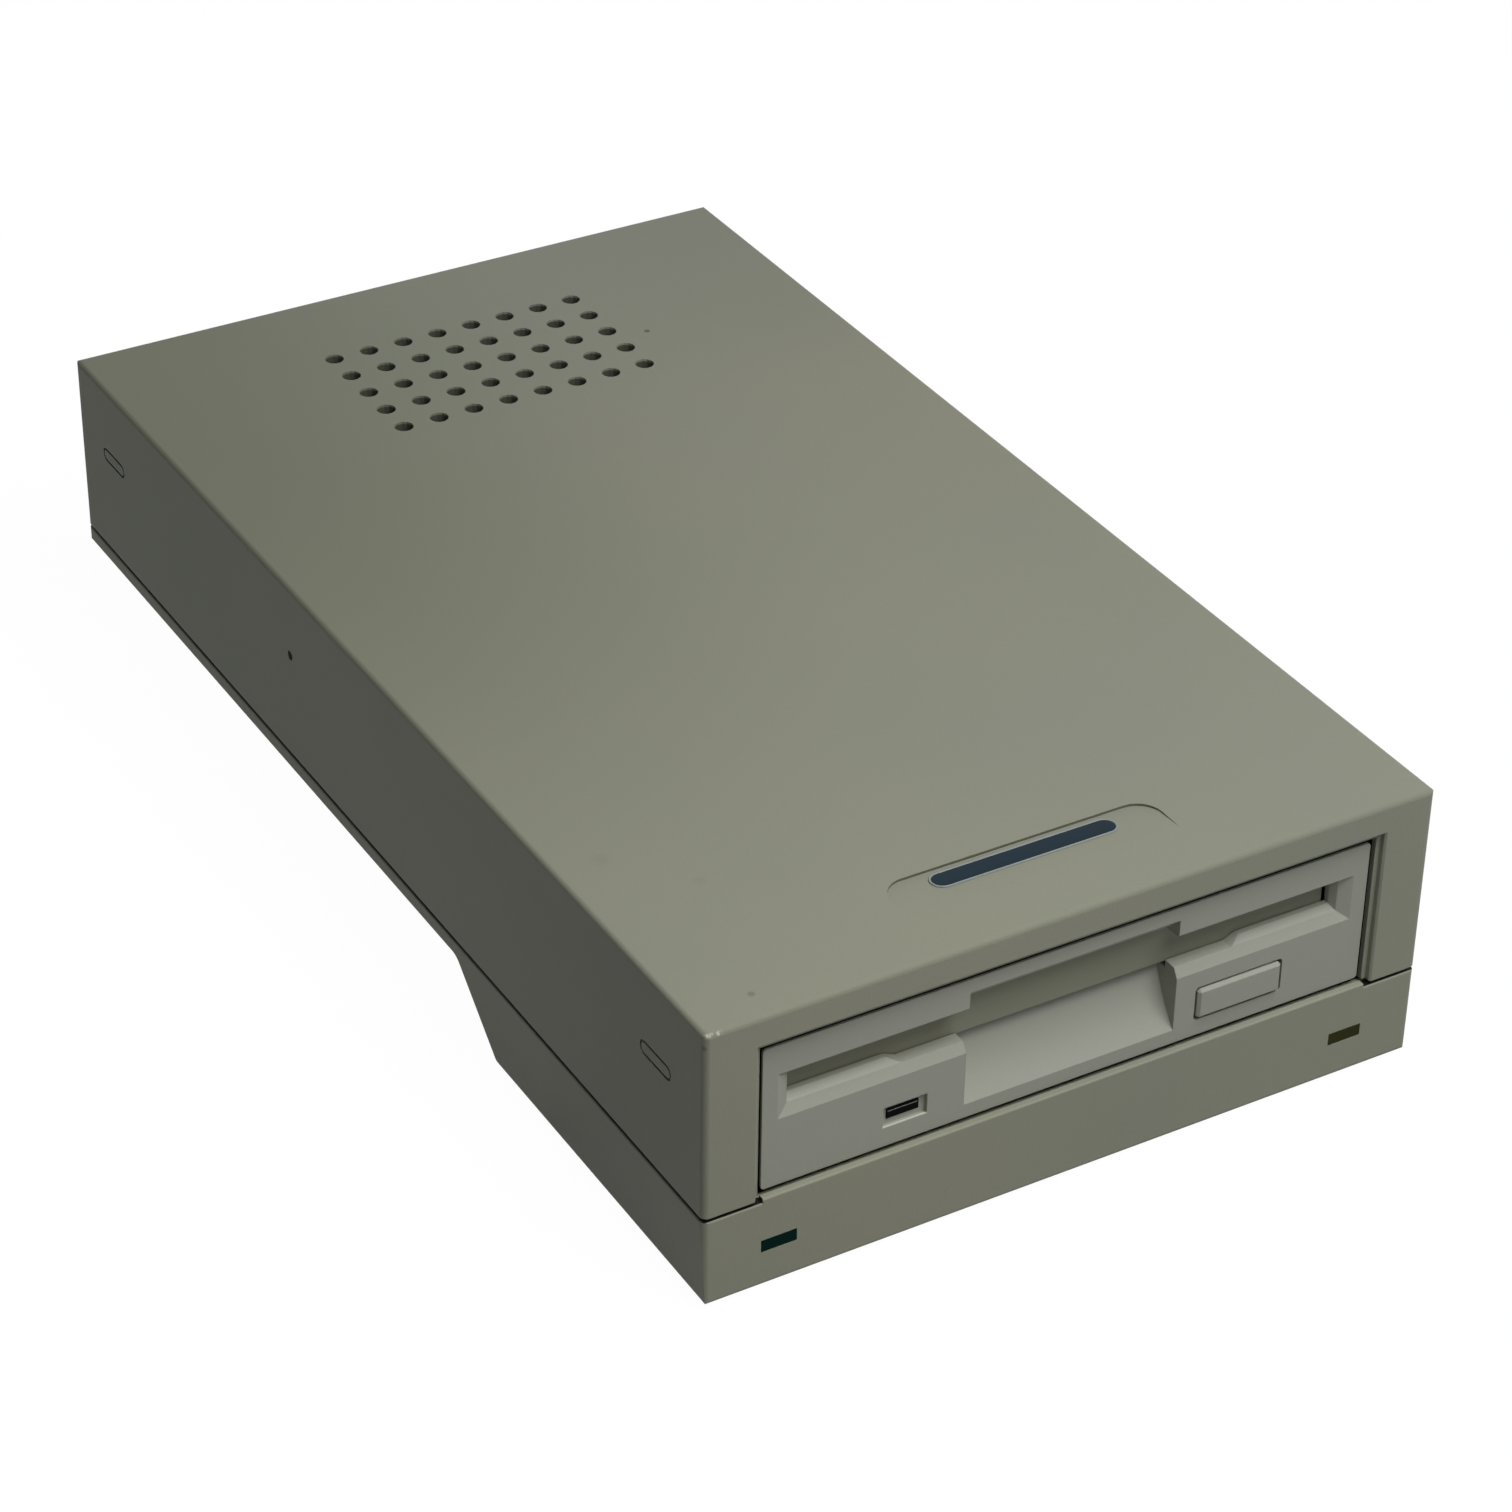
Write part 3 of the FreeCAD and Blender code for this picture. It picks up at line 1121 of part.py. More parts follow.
def drive_shield():
    """The thin steel lid of the drive, folded down outside its walls."""
    z1 = LID_TOP
    lid = block(-LID_HALF, LID_HALF, FRAME_FRONT_Y + 0.4, DRIVE_REAR, z1 - SHEET, z1)
    hems = []
    cuts = [block(-12, 12, -30, -4, z1 - 2, z1 + 1)]
    for y in SHIELD_SCREW_YS:
        hems += both_sides(block(FRAME_HALF, LID_HALF, y - HEM_DEEP / 2, y + HEM_DEEP / 2, z1 - HEM_HIGH, z1))
        cuts += both_sides(peg(SHIELD_SCREW_R + TURN_PLAY, FRAME_HALF - 1, y, SHIELD_SCREW_Z, 3, "x"))
    lid = joined(lid, *hems)
    return lid.cut(cuts).removeSplitter()


def shield_screws():
    """Four small screws that hold the lid to the chassis walls."""
    screws = []
    for y in SHIELD_SCREW_YS:
        inner = FRAME_HALF - FRAME_T
        shank = peg(SHIELD_SCREW_R, inner, y, SHIELD_SCREW_Z, LID_HALF - inner + 0.1, "x")
        head = peg(BOARD_HEAD_R, LID_HALF, y, SHIELD_SCREW_Z, 1.0, "x")
        screws += both_sides(shank.fuse(head).removeSplitter())
    return screws


def drive_board():
    """The drive's own circuit board under its chassis, with its chips and rear connectors."""
    z0 = DRIVE_Z + 0.8
    z1 = z0 + BOARD_T
    board = block(*DRIVE_BOARD, z0, z1).cut(peg(5.2, 0, SPINDLE_Y, z0 - 1, 5))
    signal = block(-29.0, 15.0, 33.0, DRIVE_REAR + 2.2, z1, z1 + 6.2)
    signal = signal.cut(block(SCREW_X - 8.9, SCREW_X + 8.9, 30, 50, z1 + 0.4, z1 + 9))
    power = block(18.8, 27.2, 33.0, DRIVE_REAR + 2.2, z1, z1 + 5.4)
    return joined(board, signal, power)


# ---------------------------------------------------------------- drive: spindle
def spindle_stator():
    """The fixed half of the spindle motor: a bearing tube with nine wound poles."""
    z0, z1 = STATOR_Z
    shoe_in, shoe_out, shoe_half = POLE_SHOE
    base = peg(5.95, 0, SPINDLE_Y, FRAME_FLOOR_Z, 1.9, "z", 12)
    bearing = peg(3.6, 0, SPINDLE_Y, FRAME_FLOOR_Z, 5.1)
    core = peg(STATOR_HUB_R, 0, SPINDLE_Y, z0, z1 - z0, "z", 12)
    poles = []
    for i in range(STATOR_POLES):
        pole = block(STATOR_HUB_R - 1, shoe_out - BITE, -POLE_HALF, POLE_HALF, z0, z1)
        pole = pole.fuse(block(shoe_in, shoe_out, -shoe_half, shoe_half, z0, z1))
        pole.rotate(V(0, 0, 0), V(0, 0, 1), 360 * i / STATOR_POLES)
        pole.translate(V(0, SPINDLE_Y, 0))
        poles.append(pole)
    stator = joined(base, bearing, core, *poles)
    return stator.cut(rod(SPINDLE_R + TURN_PLAY, 0, SPINDLE_Y, DRIVE_Z, 20))


def spindle_rotor():
    """The turning cup of the spindle motor, with its shaft."""
    z0, z1 = ROTOR_Z
    cup = peg(ROTOR_R, 0, SPINDLE_Y, z0, z1 - z0, "z", 20)
    hollow = peg(ROTOR_R - ROTOR_WALL, 0, SPINDLE_Y, z0 - 1, z1 - z0 + 1 - SHEET, "z", 20)
    shaft = rod(SPINDLE_R, 0, SPINDLE_Y, FRAME_FLOOR_Z + 0.1, z1 - FRAME_FLOOR_Z - 0.1)
    return joined(cup.cut(hollow), shaft)


def spindle_hub():
    """The raised hub with its centring pin and the spring-loaded drive pin."""
    z0 = ROTOR_Z[1]
    flange = peg(HUB_FLANGE_R, 0, SPINDLE_Y, z0, 1.0, "z", 20)
    boss = peg(HUB_R, 0, SPINDLE_Y, z0 + 0.9, HUB_TOP - z0 - 0.9, "z", 20)
    pin = peg(1.95, 0, SPINDLE_Y, HUB_TOP - 0.8, 2.7, "z", 12)
    driver = peg(1.1, 0, SPINDLE_Y - 7.5, HUB_TOP - 0.8, 1.9)
    return joined(flange, boss, pin, driver)


# ---------------------------------------------------------------- drive: head carriage
def stepper_motor():
    """The small stepping motor that turns the lead screw, and its mounting flange."""
    can = peg(MOTOR_R, SCREW_X, MOTOR_Y, SCREW_Z, MOTOR_LENGTH, "y", 12)
    flange = block(SCREW_X - 7, SCREW_X + 7, MOTOR_Y, MOTOR_Y + 1, SCREW_Z - 5.4, SCREW_Z + 8.8)
    bore = peg(SPINDLE_R + 0.25, SCREW_X, MOTOR_Y - 1, SCREW_Z, 6, "y", 12)
    return joined(can, flange).cut(bore)


def lead_screw():
    """The motor's shaft, which carries the head carriage from track to track."""
    screw = rod(SPINDLE_R, SCREW_X, -11.6, SCREW_Z, 34.0, "y")
    tip = peg(SCREW_TIP_R, SCREW_X, -14.8, SCREW_Z, 3.3, "y")
    return screw.fuse(tip).removeSplitter()


def guide_rod():
    """The polished rod that the carriage slides on."""
    return rod(SPINDLE_R, RAIL_X, RAIL_Y[0], RAIL_Z, RAIL_Y[1] - RAIL_Y[0], "y")


def head_carriage():
    """The moulded carriage: a bored runner, the lower arm, a finger for the screw and two ears."""
    runner = block(*RUNNER)
    arm = prism([(-8, -12.5), (-4, -22.0), (8, -22.0), (12.5, -8.0), (12.5, 8.0), (-8, 8.0)], "z", 25.4, 27.0)
    finger = block(-12.2, -7.9, 4.0, 7.0, 25.4, 26.6)
    ears = [prism([(1.0, 26.9), (7.0, 26.9), (6.0, 34.6), (2.0, 34.6)], "x", x, x + 1.6)
            for x in (-7.0, 5.4)]
    body = joined(runner, arm, finger, *ears)
    return body.cut([rod(SPINDLE_R + TURN_PLAY, RAIL_X, -9, RAIL_Z, 20, "y"),
                     rod(ARM_PIN_R + TURN_PLAY, -8, HINGE_Y, HINGE_Z, 16, "x")]).removeSplitter()


def head_slider(low, high):
    """A ceramic head block, between two heights."""
    half_x, half_y = HEAD_HALF
    return block(-half_x, half_x, HEAD_Y - half_y, HEAD_Y + half_y, low, high)


def tilted(shape):
    """An upper-arm piece, moved from its working place to where an empty drive holds it."""
    raised = shape.copy()
    raised.rotate(V(0, HINGE_Y, HINGE_Z), V(1, 0, 0), math.degrees(ARM_TILT))
    return raised


def head_arm():
    """The hinged upper arm with its cross pin."""
    plan = [(-4.8, 6.0), (-4.8, 0.0), (-3.6, -21.0), (3.6, -21.0), (4.8, 0.0), (4.8, 6.0)]
    plate = prism(plan, "z", HINGE_Z - 0.4, HINGE_Z + 0.4)
    pin = peg(ARM_PIN_R, -7.0, HINGE_Y, HINGE_Z, 14.0, "x", 10)
    return tilted(joined(plate, pin))


# ---------------------------------------------------------------- drive: loading mechanism
def lever_tip(angle):
    """Middle of the lever's pin at an angle, in degrees from +X."""
    turn = math.radians(angle)
    return LEVER_X + LEVER_REACH * math.cos(turn), LEVER_Y + LEVER_REACH * math.sin(turn)


def lever_slot():
    """The curved slot in the cage's top that the lever's pin sweeps through."""
    half = LEVER_PIN_R + 0.4
    ring = tube(LEVER_REACH + half, LEVER_REACH - half, LEVER_X, LEVER_Y, CAGE_TOP - 2, 4)
    start, end = LEVER_REST, LEVER_REST + LEVER_SWING
    far = 2 * LEVER_REACH
    wedge = [(LEVER_X, LEVER_Y)]
    for angle in (start, (start + end) / 2, end):
        turn = math.radians(angle)
        wedge.append((LEVER_X + far * math.cos(turn), LEVER_Y + far * math.sin(turn)))
    sector = ring.common(prism(wedge, "z", CAGE_TOP - 2, CAGE_TOP + 2))
    ends = [peg(half, *lever_tip(angle), CAGE_TOP - 2, 4, "z", 12) for angle in (start, end)]
    return [sector] + ends


def disk_cage():
    """The folded steel tray that holds the disk by its edges and sinks onto the spindle."""
    top = block(-CAGE_HALF, CAGE_HALF, CAGE_Y0, CAGE_Y1, CAGE_TOP - SHEET, CAGE_TOP)
    walls = both_sides(block(CAGE_HALF - SHEET, CAGE_HALF, CAGE_Y0, CAGE_Y1, CAGE_LIP_Z, CAGE_TOP))
    lip_z = CAGE_LIP_Z + SHEET - 0.1
    lips = both_sides(block(CAGE_HALF - 2.5, CAGE_HALF, CAGE_Y0, CAGE_Y1, CAGE_LIP_Z, lip_z))
    body = joined(top, *walls, *lips)
    window = [(-9, CAGE_Y1 + 1), (-9, -38), (9, -38), (9, CAGE_Y1 + 1)]
    mouth = [(-20, CAGE_Y0 - 1), (20, CAGE_Y0 - 1), (16, CAGE_Y0 + 5), (-16, CAGE_Y0 + 5)]
    hub_hole = block(-16, 16, -68, -44, CAGE_TOP - 2, CAGE_TOP + 1)
    cuts = [
        prism(window, "z", CAGE_TOP - 2, CAGE_TOP + 1),
        prism(mouth, "z", CAGE_TOP - 2, CAGE_TOP + 1),
        hub_hole,
        peg(LEVER_PIN_R + 0.15, LEVER_X, LEVER_Y, CAGE_TOP - 2, 4),
    ]
    for y in PIN_YS:
        cuts += both_sides(peg(PIN_R, CAGE_HALF - 2, y, PIN_Z, 4, "x"))
    return body.cut(cuts + lever_slot()).removeSplitter()


def cage_pins():
    """Four pins riveted into the cage: they run in the slide's ramps and the chassis slots."""
    pins = []
    for y in PIN_YS:
        pins += both_sides(peg(PIN_R, CAGE_HALF - SHEET, y, PIN_Z, PIN_OUT - CAGE_HALF + SHEET, "x"))
    return pins


def ramp_slot(y):
    """The sloping slot that drives one cage pin up and down as the slide moves."""
    angle = math.atan(LIFT_RATIO)
    length = (EJECT_TRAVEL + RAMP_LEAD) / math.cos(angle)
    half = PIN_R + RAMP_PLAY
    slot = prism(rectangle(-half, length + half, -half, half), "x", SLIDE_HALF - 1.5, SLIDE_HALF + SHEET)
    slot.rotate(V(0, 0, 0), V(1, 0, 0), -math.degrees(angle))
    slot.translate(V(0, y - RAMP_LEAD, PIN_Z + RAMP_LEAD * LIFT_RATIO))
    return slot


def eject_slide_plate():
    """The sliding plate over the cage: ramped skirts, and an arm that reaches the button."""
    z0 = CAGE_TOP + SLIDE_LIFT
    z1 = z0 + SHEET
    x1 = SLIDE_HALF
    x0 = x1 - SHEET
    y0, y1 = SLIDE_Y
    plate = block(-x1, x1, y0, y1, z0, z1)
    skirts = both_sides(block(x0, x1, y0, y1, z0 - 2.4, z1))
    tabs = []
    for y in PIN_YS:
        tabs += both_sides(block(x0, x1, y - 4.5, y + 9.5, 27.6, z1))
    reach = block(x0, x1, SLIDE_ARM_Y, y0 + 5, SLIDE_ARM_Z, z1)
    arm = block(BUTTON[0] + 6.3, x1, SLIDE_ARM_Y, SLIDE_ARM_Y + 1, SLIDE_ARM_Z, SLIDE_ARM_Z + 3.2)
    body = joined(plate, *skirts, *tabs, reach, arm)
    window = [(-13, y1 + 1), (-13, -44), (13, -44), (13, y1 + 1)]
    mouth = [(-24, y0 - 1), (24, y0 - 1), (18, y0 + 9), (-18, y0 + 9)]
    cuts = [
        prism(window, "z", z0 - 1, z1 + 1),
        prism(mouth, "z", z0 - 1, z1 + 1),
        block(-40, -18, -78, -50, z0 - 1, z1 + 1),
        block(18, 40, -78, -50, z0 - 1, z1 + 1),
    ]
    for y in PIN_YS:
        slot = ramp_slot(y)
        cuts += both_sides(slot)
    return body.cut(cuts).removeSplitter()


def eject_button():
    """The square-cornered push button, with a stem that clips over the slide's arm."""
    x0, x1, z0, z1 = BUTTON
    front = FACE_Y - BUTTON_PROUD
    cap = block(x0, x1, front, FACE_Y + 2.6, z0, z1)
    seen_edges = [edge for edge in cap.Edges if edge.BoundBox.YMin < front + 1e-6]
    cap = cap.makeChamfer(BUTTON_EDGE, seen_edges)
    stem = block(x0 + 5.0, x1 - 3.0, FACE_Y + 2.5, SLIDE_ARM_Y - TURN_PLAY,
                 SLIDE_ARM_Z + 0.4, SLIDE_ARM_Z + 2.8)
    return joined(cap, stem)


def shutter_lever():
    """The lever on the cage that opens the disk's shutter as the disk goes in."""
    z0 = CAGE_TOP + 0.2
    z1 = z0 + SHEET
    tip_x, tip_y = lever_tip(LEVER_REST)
    eye = peg(3.4, LEVER_X, LEVER_Y, z0, SHEET)
    end = peg(2.2, tip_x, tip_y, z0, SHEET)
    bar = block(0, LEVER_REACH, -LEVER_HALF, LEVER_HALF, z0, z1)
    bar.rotate(V(0, 0, 0), V(0, 0, 1), LEVER_REST)
    bar.translate(V(LEVER_X, LEVER_Y, 0))
    pin = peg(LEVER_PIN_R, tip_x, tip_y, LEVER_PIN_Z, z1 - LEVER_PIN_Z)
    pivot = peg(LEVER_PIN_R, LEVER_X, LEVER_Y, CAGE_TOP - 1.6, 2.6)
    return joined(eye, bar, end, pin, pivot)


def eject_springs():
    """Two close-wound tension springs, each a hollow barrel with a hook at each end."""
    springs = []
    x, z, y0, y1 = SPRING_X, SPRING_Z, SPRING_Y0, SPRING_Y1
    hollow = peg(SPRING_R - SPRING_WIRE, x, y0 - 1, z, y1 - y0 + 2, "y")
    barrel = peg(SPRING_R, x, y0, z, y1 - y0, "y").cut(hollow)
    for low, high in ((y0 - 1.2, y0 + 0.3), (y1 - 0.3, y1 + 1.2)):
        barrel = barrel.fuse(block(x - 0.3, x + 0.3, low, high, z - SPRING_R, z - SPRING_R + SPRING_WIRE))
    springs += both_sides(barrel.removeSplitter())
    return springs


def main():
    os.makedirs("parts", exist_ok=True)
    save("top_cover", top_cover())
    save("base_tray", base_tray())
    save("rubber_feet", *rubber_feet())
    save("case_screws",
         *both_sides(pan_screw(CASE_SCREW_X, FRONT_SCREW_Y, CASE_SEAT_FRONT, 17.5)),
         *both_sides(pan_screw(CASE_SCREW_X, REAR_SCREW_Y, CASE_SEAT_REAR, 7.5)))
    save("drive_screws",
         *both_sides(pan_screw(DRIVE_SCREW_X, DRIVE_SCREW_YS[0], DRIVE_SEAT_FRONT, 4.6,
                               DRIVE_HEAD_FRONT_R, BOARD_HEAD_H)),
         *both_sides(pan_screw(DRIVE_SCREW_X, DRIVE_SCREW_YS[1], DRIVE_SEAT_REAR, 1.8,
                               DRIVE_HEAD_REAR_R, BOARD_HEAD_H)))
    save("power_led_lens", lens(-1))
    save("activity_led_lens", lens(1))
    save("rear_panel", rear_panel())
    save("computer_port", computer_port())
    save("computer_port_pins", *computer_port_pins())
    save("printer_port", printer_port())
    save("jack_screws", *jack_screws())
    save("dc_inlet", dc_inlet())
    save("interface_board", interface_board())
    save("board_screws", *board_screws())
    save("interface_chips", *interface_chips())
    save("board_capacitors", *board_capacitors())
    save("voltage_regulator", voltage_regulator())
    save("ribbon_header", ribbon_header())
    save("signal_ribbon", signal_ribbon())
    save("power_lead", *power_lead())
    save("led_board", led_board())
    save("led_board_screws", *led_board_screws())
    save("indicator_leds", *indicator_leds())
    save("led_lead", led_lead())
    save("drive_frame", drive_frame())
    save("drive_bezel", drive_bezel())
    save("drive_lamp", activity_lamp())
    save("drive_shield", drive_shield())
    save("shield_screws", *shield_screws())
    save("drive_board", drive_board())
    save("spindle_stator", spindle_stator())
    save("stepper_motor", stepper_motor())
    save("guide_rod", guide_rod())
    save("dust_flap", dust_flap())
    save("eject_button", eject_button())
    save("eject_slide_plate", eject_slide_plate())
    save("disk_cage", disk_cage())
    save("cage_pins", *cage_pins())
    save("shutter_lever", shutter_lever())
    save("spindle_rotor", spindle_rotor())
    save("spindle_hub", spindle_hub())
    save("lead_screw", lead_screw())
    save("head_carriage", head_carriage())
    save("lower_head", head_slider(27.0, 29.9))
    save("head_arm", head_arm())
    save("upper_head", tilted(head_slider(30.0, 32.6)))
    save("eject_springs", *eject_springs())


main()
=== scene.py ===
# %% [markdown]
# # Dressing an external 3.5 inch floppy disk drive
# The solid parts of the drive come from a CAD pack: a two-part moulded case, the drive's pale front
# with its dust flap and eject button, and the whole mechanism behind it. They are the fixed frame.
# This lesson gives every part its finish, adds the small things a CAD solid leaves out, and sets up
# the camera, the lamps and the floor. All sizes are metres, +Z is up and the front looks along -Y.

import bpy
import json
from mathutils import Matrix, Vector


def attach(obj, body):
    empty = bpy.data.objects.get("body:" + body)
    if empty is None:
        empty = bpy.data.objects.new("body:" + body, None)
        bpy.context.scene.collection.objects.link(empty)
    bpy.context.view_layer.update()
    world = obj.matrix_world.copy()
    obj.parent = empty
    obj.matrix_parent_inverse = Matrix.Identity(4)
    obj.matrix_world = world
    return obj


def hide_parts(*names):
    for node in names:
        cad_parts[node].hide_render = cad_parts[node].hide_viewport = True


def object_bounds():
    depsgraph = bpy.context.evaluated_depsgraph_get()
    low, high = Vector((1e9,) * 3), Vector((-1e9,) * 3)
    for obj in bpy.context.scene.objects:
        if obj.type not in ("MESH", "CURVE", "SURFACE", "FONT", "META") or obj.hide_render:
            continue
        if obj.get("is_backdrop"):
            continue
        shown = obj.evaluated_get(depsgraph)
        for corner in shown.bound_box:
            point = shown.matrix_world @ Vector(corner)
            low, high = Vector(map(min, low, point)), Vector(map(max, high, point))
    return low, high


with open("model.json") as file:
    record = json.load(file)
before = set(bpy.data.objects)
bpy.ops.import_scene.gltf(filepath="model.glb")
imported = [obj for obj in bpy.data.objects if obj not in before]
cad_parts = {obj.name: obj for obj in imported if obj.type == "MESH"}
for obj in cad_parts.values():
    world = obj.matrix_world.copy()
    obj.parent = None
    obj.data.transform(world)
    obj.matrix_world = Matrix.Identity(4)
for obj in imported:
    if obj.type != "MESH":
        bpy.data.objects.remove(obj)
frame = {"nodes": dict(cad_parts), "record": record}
cad_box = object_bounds()
nodes = frame["nodes"]
print(len(nodes), "CAD parts in a box from", tuple(cad_box[0]), "to", tuple(cad_box[1]))

# %% [markdown]
# ## Tools and units
# Small parts are easiest to write down in millimetres, the way they are measured with a caliper.
# One helper turns them into Blender's metres.

# %% Units and imports
import json
import math

import bmesh
import bpy
from mathutils import Matrix, Vector

MM = 0.001
scene = bpy.context.scene


def mm(x, y, z):
    """A point in millimetres, as a vector in metres."""
    return Vector((x, y, z)) * MM


# %% [markdown]
# ## The camera
# A product shot like this one is taken from about 0.7 m with a long lens, so that the case's edges
# stay almost parallel. A camera could be aimed with a Track To constraint, but here the two angles,
# the roll and the place are known, so the rotation is built straight from them.

# %% Place the camera
AZIMUTH = math.radians(-30.591)
ELEVATION = math.radians(33.557)
ROLL = math.radians(0.929)
CAMERA_PLACE = mm(-288.17, -504.29, 396.20)
FOCAL_PIXELS = 4332.0
IMAGE_SIZE = 1512
SENSOR = 36.0
CLIP_NEAR = 0.01

backward = Vector((
    math.sin(AZIMUTH) * math.cos(ELEVATION),
    -math.cos(AZIMUTH) * math.cos(ELEVATION),
    math.sin(ELEVATION),
))
level_right = Vector((0, 0, 1)).cross(backward).normalized()
level_up = backward.cross(level_right)
right = level_right * math.cos(ROLL) + level_up * math.sin(ROLL)
upward = backward.cross(right)

camera_data = bpy.data.cameras.new("camera")
camera_data.sensor_width = SENSOR
camera_data.lens = SENSOR * FOCAL_PIXELS / IMAGE_SIZE
camera_data.clip_start = CLIP_NEAR
camera = bpy.data.objects.new("camera", camera_data)
turn = Matrix((right, upward, backward)).transposed().to_4x4()
camera.matrix_world = Matrix.Translation(CAMERA_PLACE) @ turn
scene.collection.objects.link(camera)
scene.camera = camera
print("lens", round(camera_data.lens, 1), "mm")

# %% [markdown]
# ## Writing shader maths as plain expressions
# A material is a graph of nodes. Wiring each Math node by hand hides the idea, so a small class wraps
# a socket and overloads Python's operators: `0.5 + 0.1 * grain` then adds the Math nodes by itself.


# %% A socket that can be added and multiplied
class Value:
    """One output socket of a node tree, with Python's own operators."""

    def __init__(self, owner, socket):
        self.owner = owner
        self.socket = socket

    def math(self, operation, first, second=0.0):
        return self.owner.add("ShaderNodeMath", {"operation": operation}, {0: first, 1: second})

    def __add__(self, other):
        return self.math("ADD", self, other)

    def __radd__(self, other):
        return self.math("ADD", other, self)

    def __sub__(self, other):
        return self.math("SUBTRACT", self, other)

    def __rsub__(self, other):
        return self.math("SUBTRACT", other, self)

    def __mul__(self, other):
        return self.math("MULTIPLY", self, other)

    def __rmul__(self, other):
        return self.math("MULTIPLY", other, self)

    def __truediv__(self, other):
        return self.math("DIVIDE", self, other)


class Nodes:
    """A node tree to which one method adds any node."""

    def add(self, kind, settings, values, output=0):
        """A node of any type: its settings first, then a number or links for each socket."""
        node = self.tree.nodes.new(kind)
        for key, value in settings.items():
            if key == "stops":
                self.fill_ramp(node.color_ramp, value)
            else:
                setattr(node, key, value)
        for key, value in values.items():
            for item in value if isinstance(value, list) else [value]:
                if isinstance(item, Value):
                    self.tree.links.new(item.socket, node.inputs[key])
                else:
                    node.inputs[key].default_value = item
        return Value(self, node.outputs[output])

    def fill_ramp(self, ramp, stops):
        while len(ramp.elements) < len(stops):
            ramp.elements.new(0.5)
        for element, (position, shade) in zip(ramp.elements, stops):
            element.position = position
            element.color = (shade, shade, shade, 1)


# %% [markdown]
# ## A finish
# Every finish is one Principled shader. What never changes over a surface is set on the shader's own
# socket, and only colour, roughness, metal and the bump of the surface are driven by patterns. All
# patterns read Object coordinates, so a grain has the same size on every part, whatever its shape.


# %% The class that makes a finish
class Finish(Nodes):
    """A material: its shader, its surface coordinates and the patterns that the finishes share."""

    def __init__(self, name, **constants):
        self.material = bpy.data.materials.new(name)
        self.material.use_nodes = True
        self.tree = self.material.node_tree
        self.shader = self.tree.nodes["Principled BSDF"]
        for socket, value in constants.items():
            self.shader.inputs[socket.replace("_", " ")].default_value = value
        self.place = self.add("ShaderNodeTexCoord", {}, {}, "Object")

    def noise(self, scale, detail=2.0, rough=0.5, stretch=None):
        """Cloudy noise from 0 to 1. The scale is in waves to the metre."""
        place = self.place
        if stretch:
            place = self.add("ShaderNodeVectorMath", {"operation": "MULTIPLY"}, {0: place, 1: stretch})
        values = {"Vector": place, "Scale": scale, "Detail": detail, "Roughness": rough}
        return self.add("ShaderNodeTexNoise", {}, values, "Fac")

    def steps(self, value, *stops):
        """A value put through a ramp of grey stops."""
        return self.add("ShaderNodeValToRGB", {"stops": stops}, {0: value}, "Color")

    def blend(self, mask, first, second):
        """Two colours mixed by a mask."""
        settings = {"data_type": "RGBA"}
        return self.add("ShaderNodeMix", settings, {0: mask, 6: first, 7: second}, 2)

    def over(self, value, start, end):
        """0 where a value is below start, 1 where it is above end, and smooth between."""
        settings = {"interpolation_type": "SMOOTHSTEP"}
        values = {"Value": value, "From Min": start, "From Max": end}
        return self.add("ShaderNodeMapRange", settings, values)

    def spot(self, centre, size, softness):
        """1 inside a small round mark at a point in millimetres, 0 outside it."""
        offset = self.add("ShaderNodeVectorMath", {"operation": "DISTANCE"},
                          {0: self.place, 1: mm(*centre)}, "Value")
        return 1 - self.over(offset, size * MM, (size + softness) * MM)

    def axis(self, letter):
        """One coordinate of the surface, in millimetres."""
        return self.add("ShaderNodeSeparateXYZ", {}, {0: self.place}, letter.upper()) * 1000

    def inside(self, soft=0.06, **limits):
        """1 inside a box that is given by its limits in millimetres, 0 outside it."""
        mask = 1
        for letter, (low, high) in limits.items():
            value = self.axis(letter)
            above = self.over(value, low - soft, low + soft)
            below = 1 - self.over(value, high - soft, high + soft)
            mask = above * below * mask
        return mask

    def wear(self, **links):
        """Drives the shader's sockets."""
        for socket, value in links.items():
            self.tree.links.new(value.socket, self.shader.inputs[socket.replace("_", " ")])
        return self

    def bump(self, height, depth, edge=0.0):
        """Raises the surface by a pattern, and rounds its sharp edges. Both sizes are in millimetres."""
        values = {"Height": height, "Distance": depth * MM}
        if edge:
            values["Normal"] = self.add("ShaderNodeBevel", {"samples": 4}, {"Radius": edge * MM}, "Normal")
        return self.wear(Normal=self.add("ShaderNodeBump", {}, values, "Normal"))


def grey(level, tint=(1, 1, 1)):
    """A colour from one brightness and a tint."""
    return tuple(level * channel for channel in tint) + (1,)


# %% [markdown]
# ## Moulded plastic
# The case is injection-moulded ABS in the warm grey of office machines. The mould was spark eroded,
# which leaves a fine pebbled grain. A slow cloudiness in the colour and faint speckles keep the big
# flat top from looking like a flat fill. The edges are rounded by a Bevel node in the shader, because
# a CAD part keeps its own mesh.


# %% The recipe for moulded plastic
CLOUD_SCALE = 9
SPECKLE_SCALE = 1500
PEBBLE_SCALE = 2600
SPECKLE_SHARE = 0.10
SPECKLE_GREY = 0.16


def moulded(name, warm, cool, grain_depth, roughness, edge):
    """Grained plastic with a slow drift between two colours and softened edges."""
    finish = Finish(name, Specular_IOR_Level=0.2)
    clouds = finish.noise(CLOUD_SCALE, 3, 0.55)
    speckle = finish.noise(SPECKLE_SCALE, 2, 0.6)
    pebbles = finish.noise(PEBBLE_SCALE, 2, 0.5)
    drift = finish.steps(clouds, (0.35, 0.0), (0.65, 1.0))
    colour = finish.blend(drift, warm, cool)
    colour = finish.blend(SPECKLE_SHARE * speckle, colour, grey(SPECKLE_GREY))
    finish.wear(Roughness=roughness + 0.08 * clouds)
    finish.bump(pebbles, grain_depth, edge)
    return finish, colour


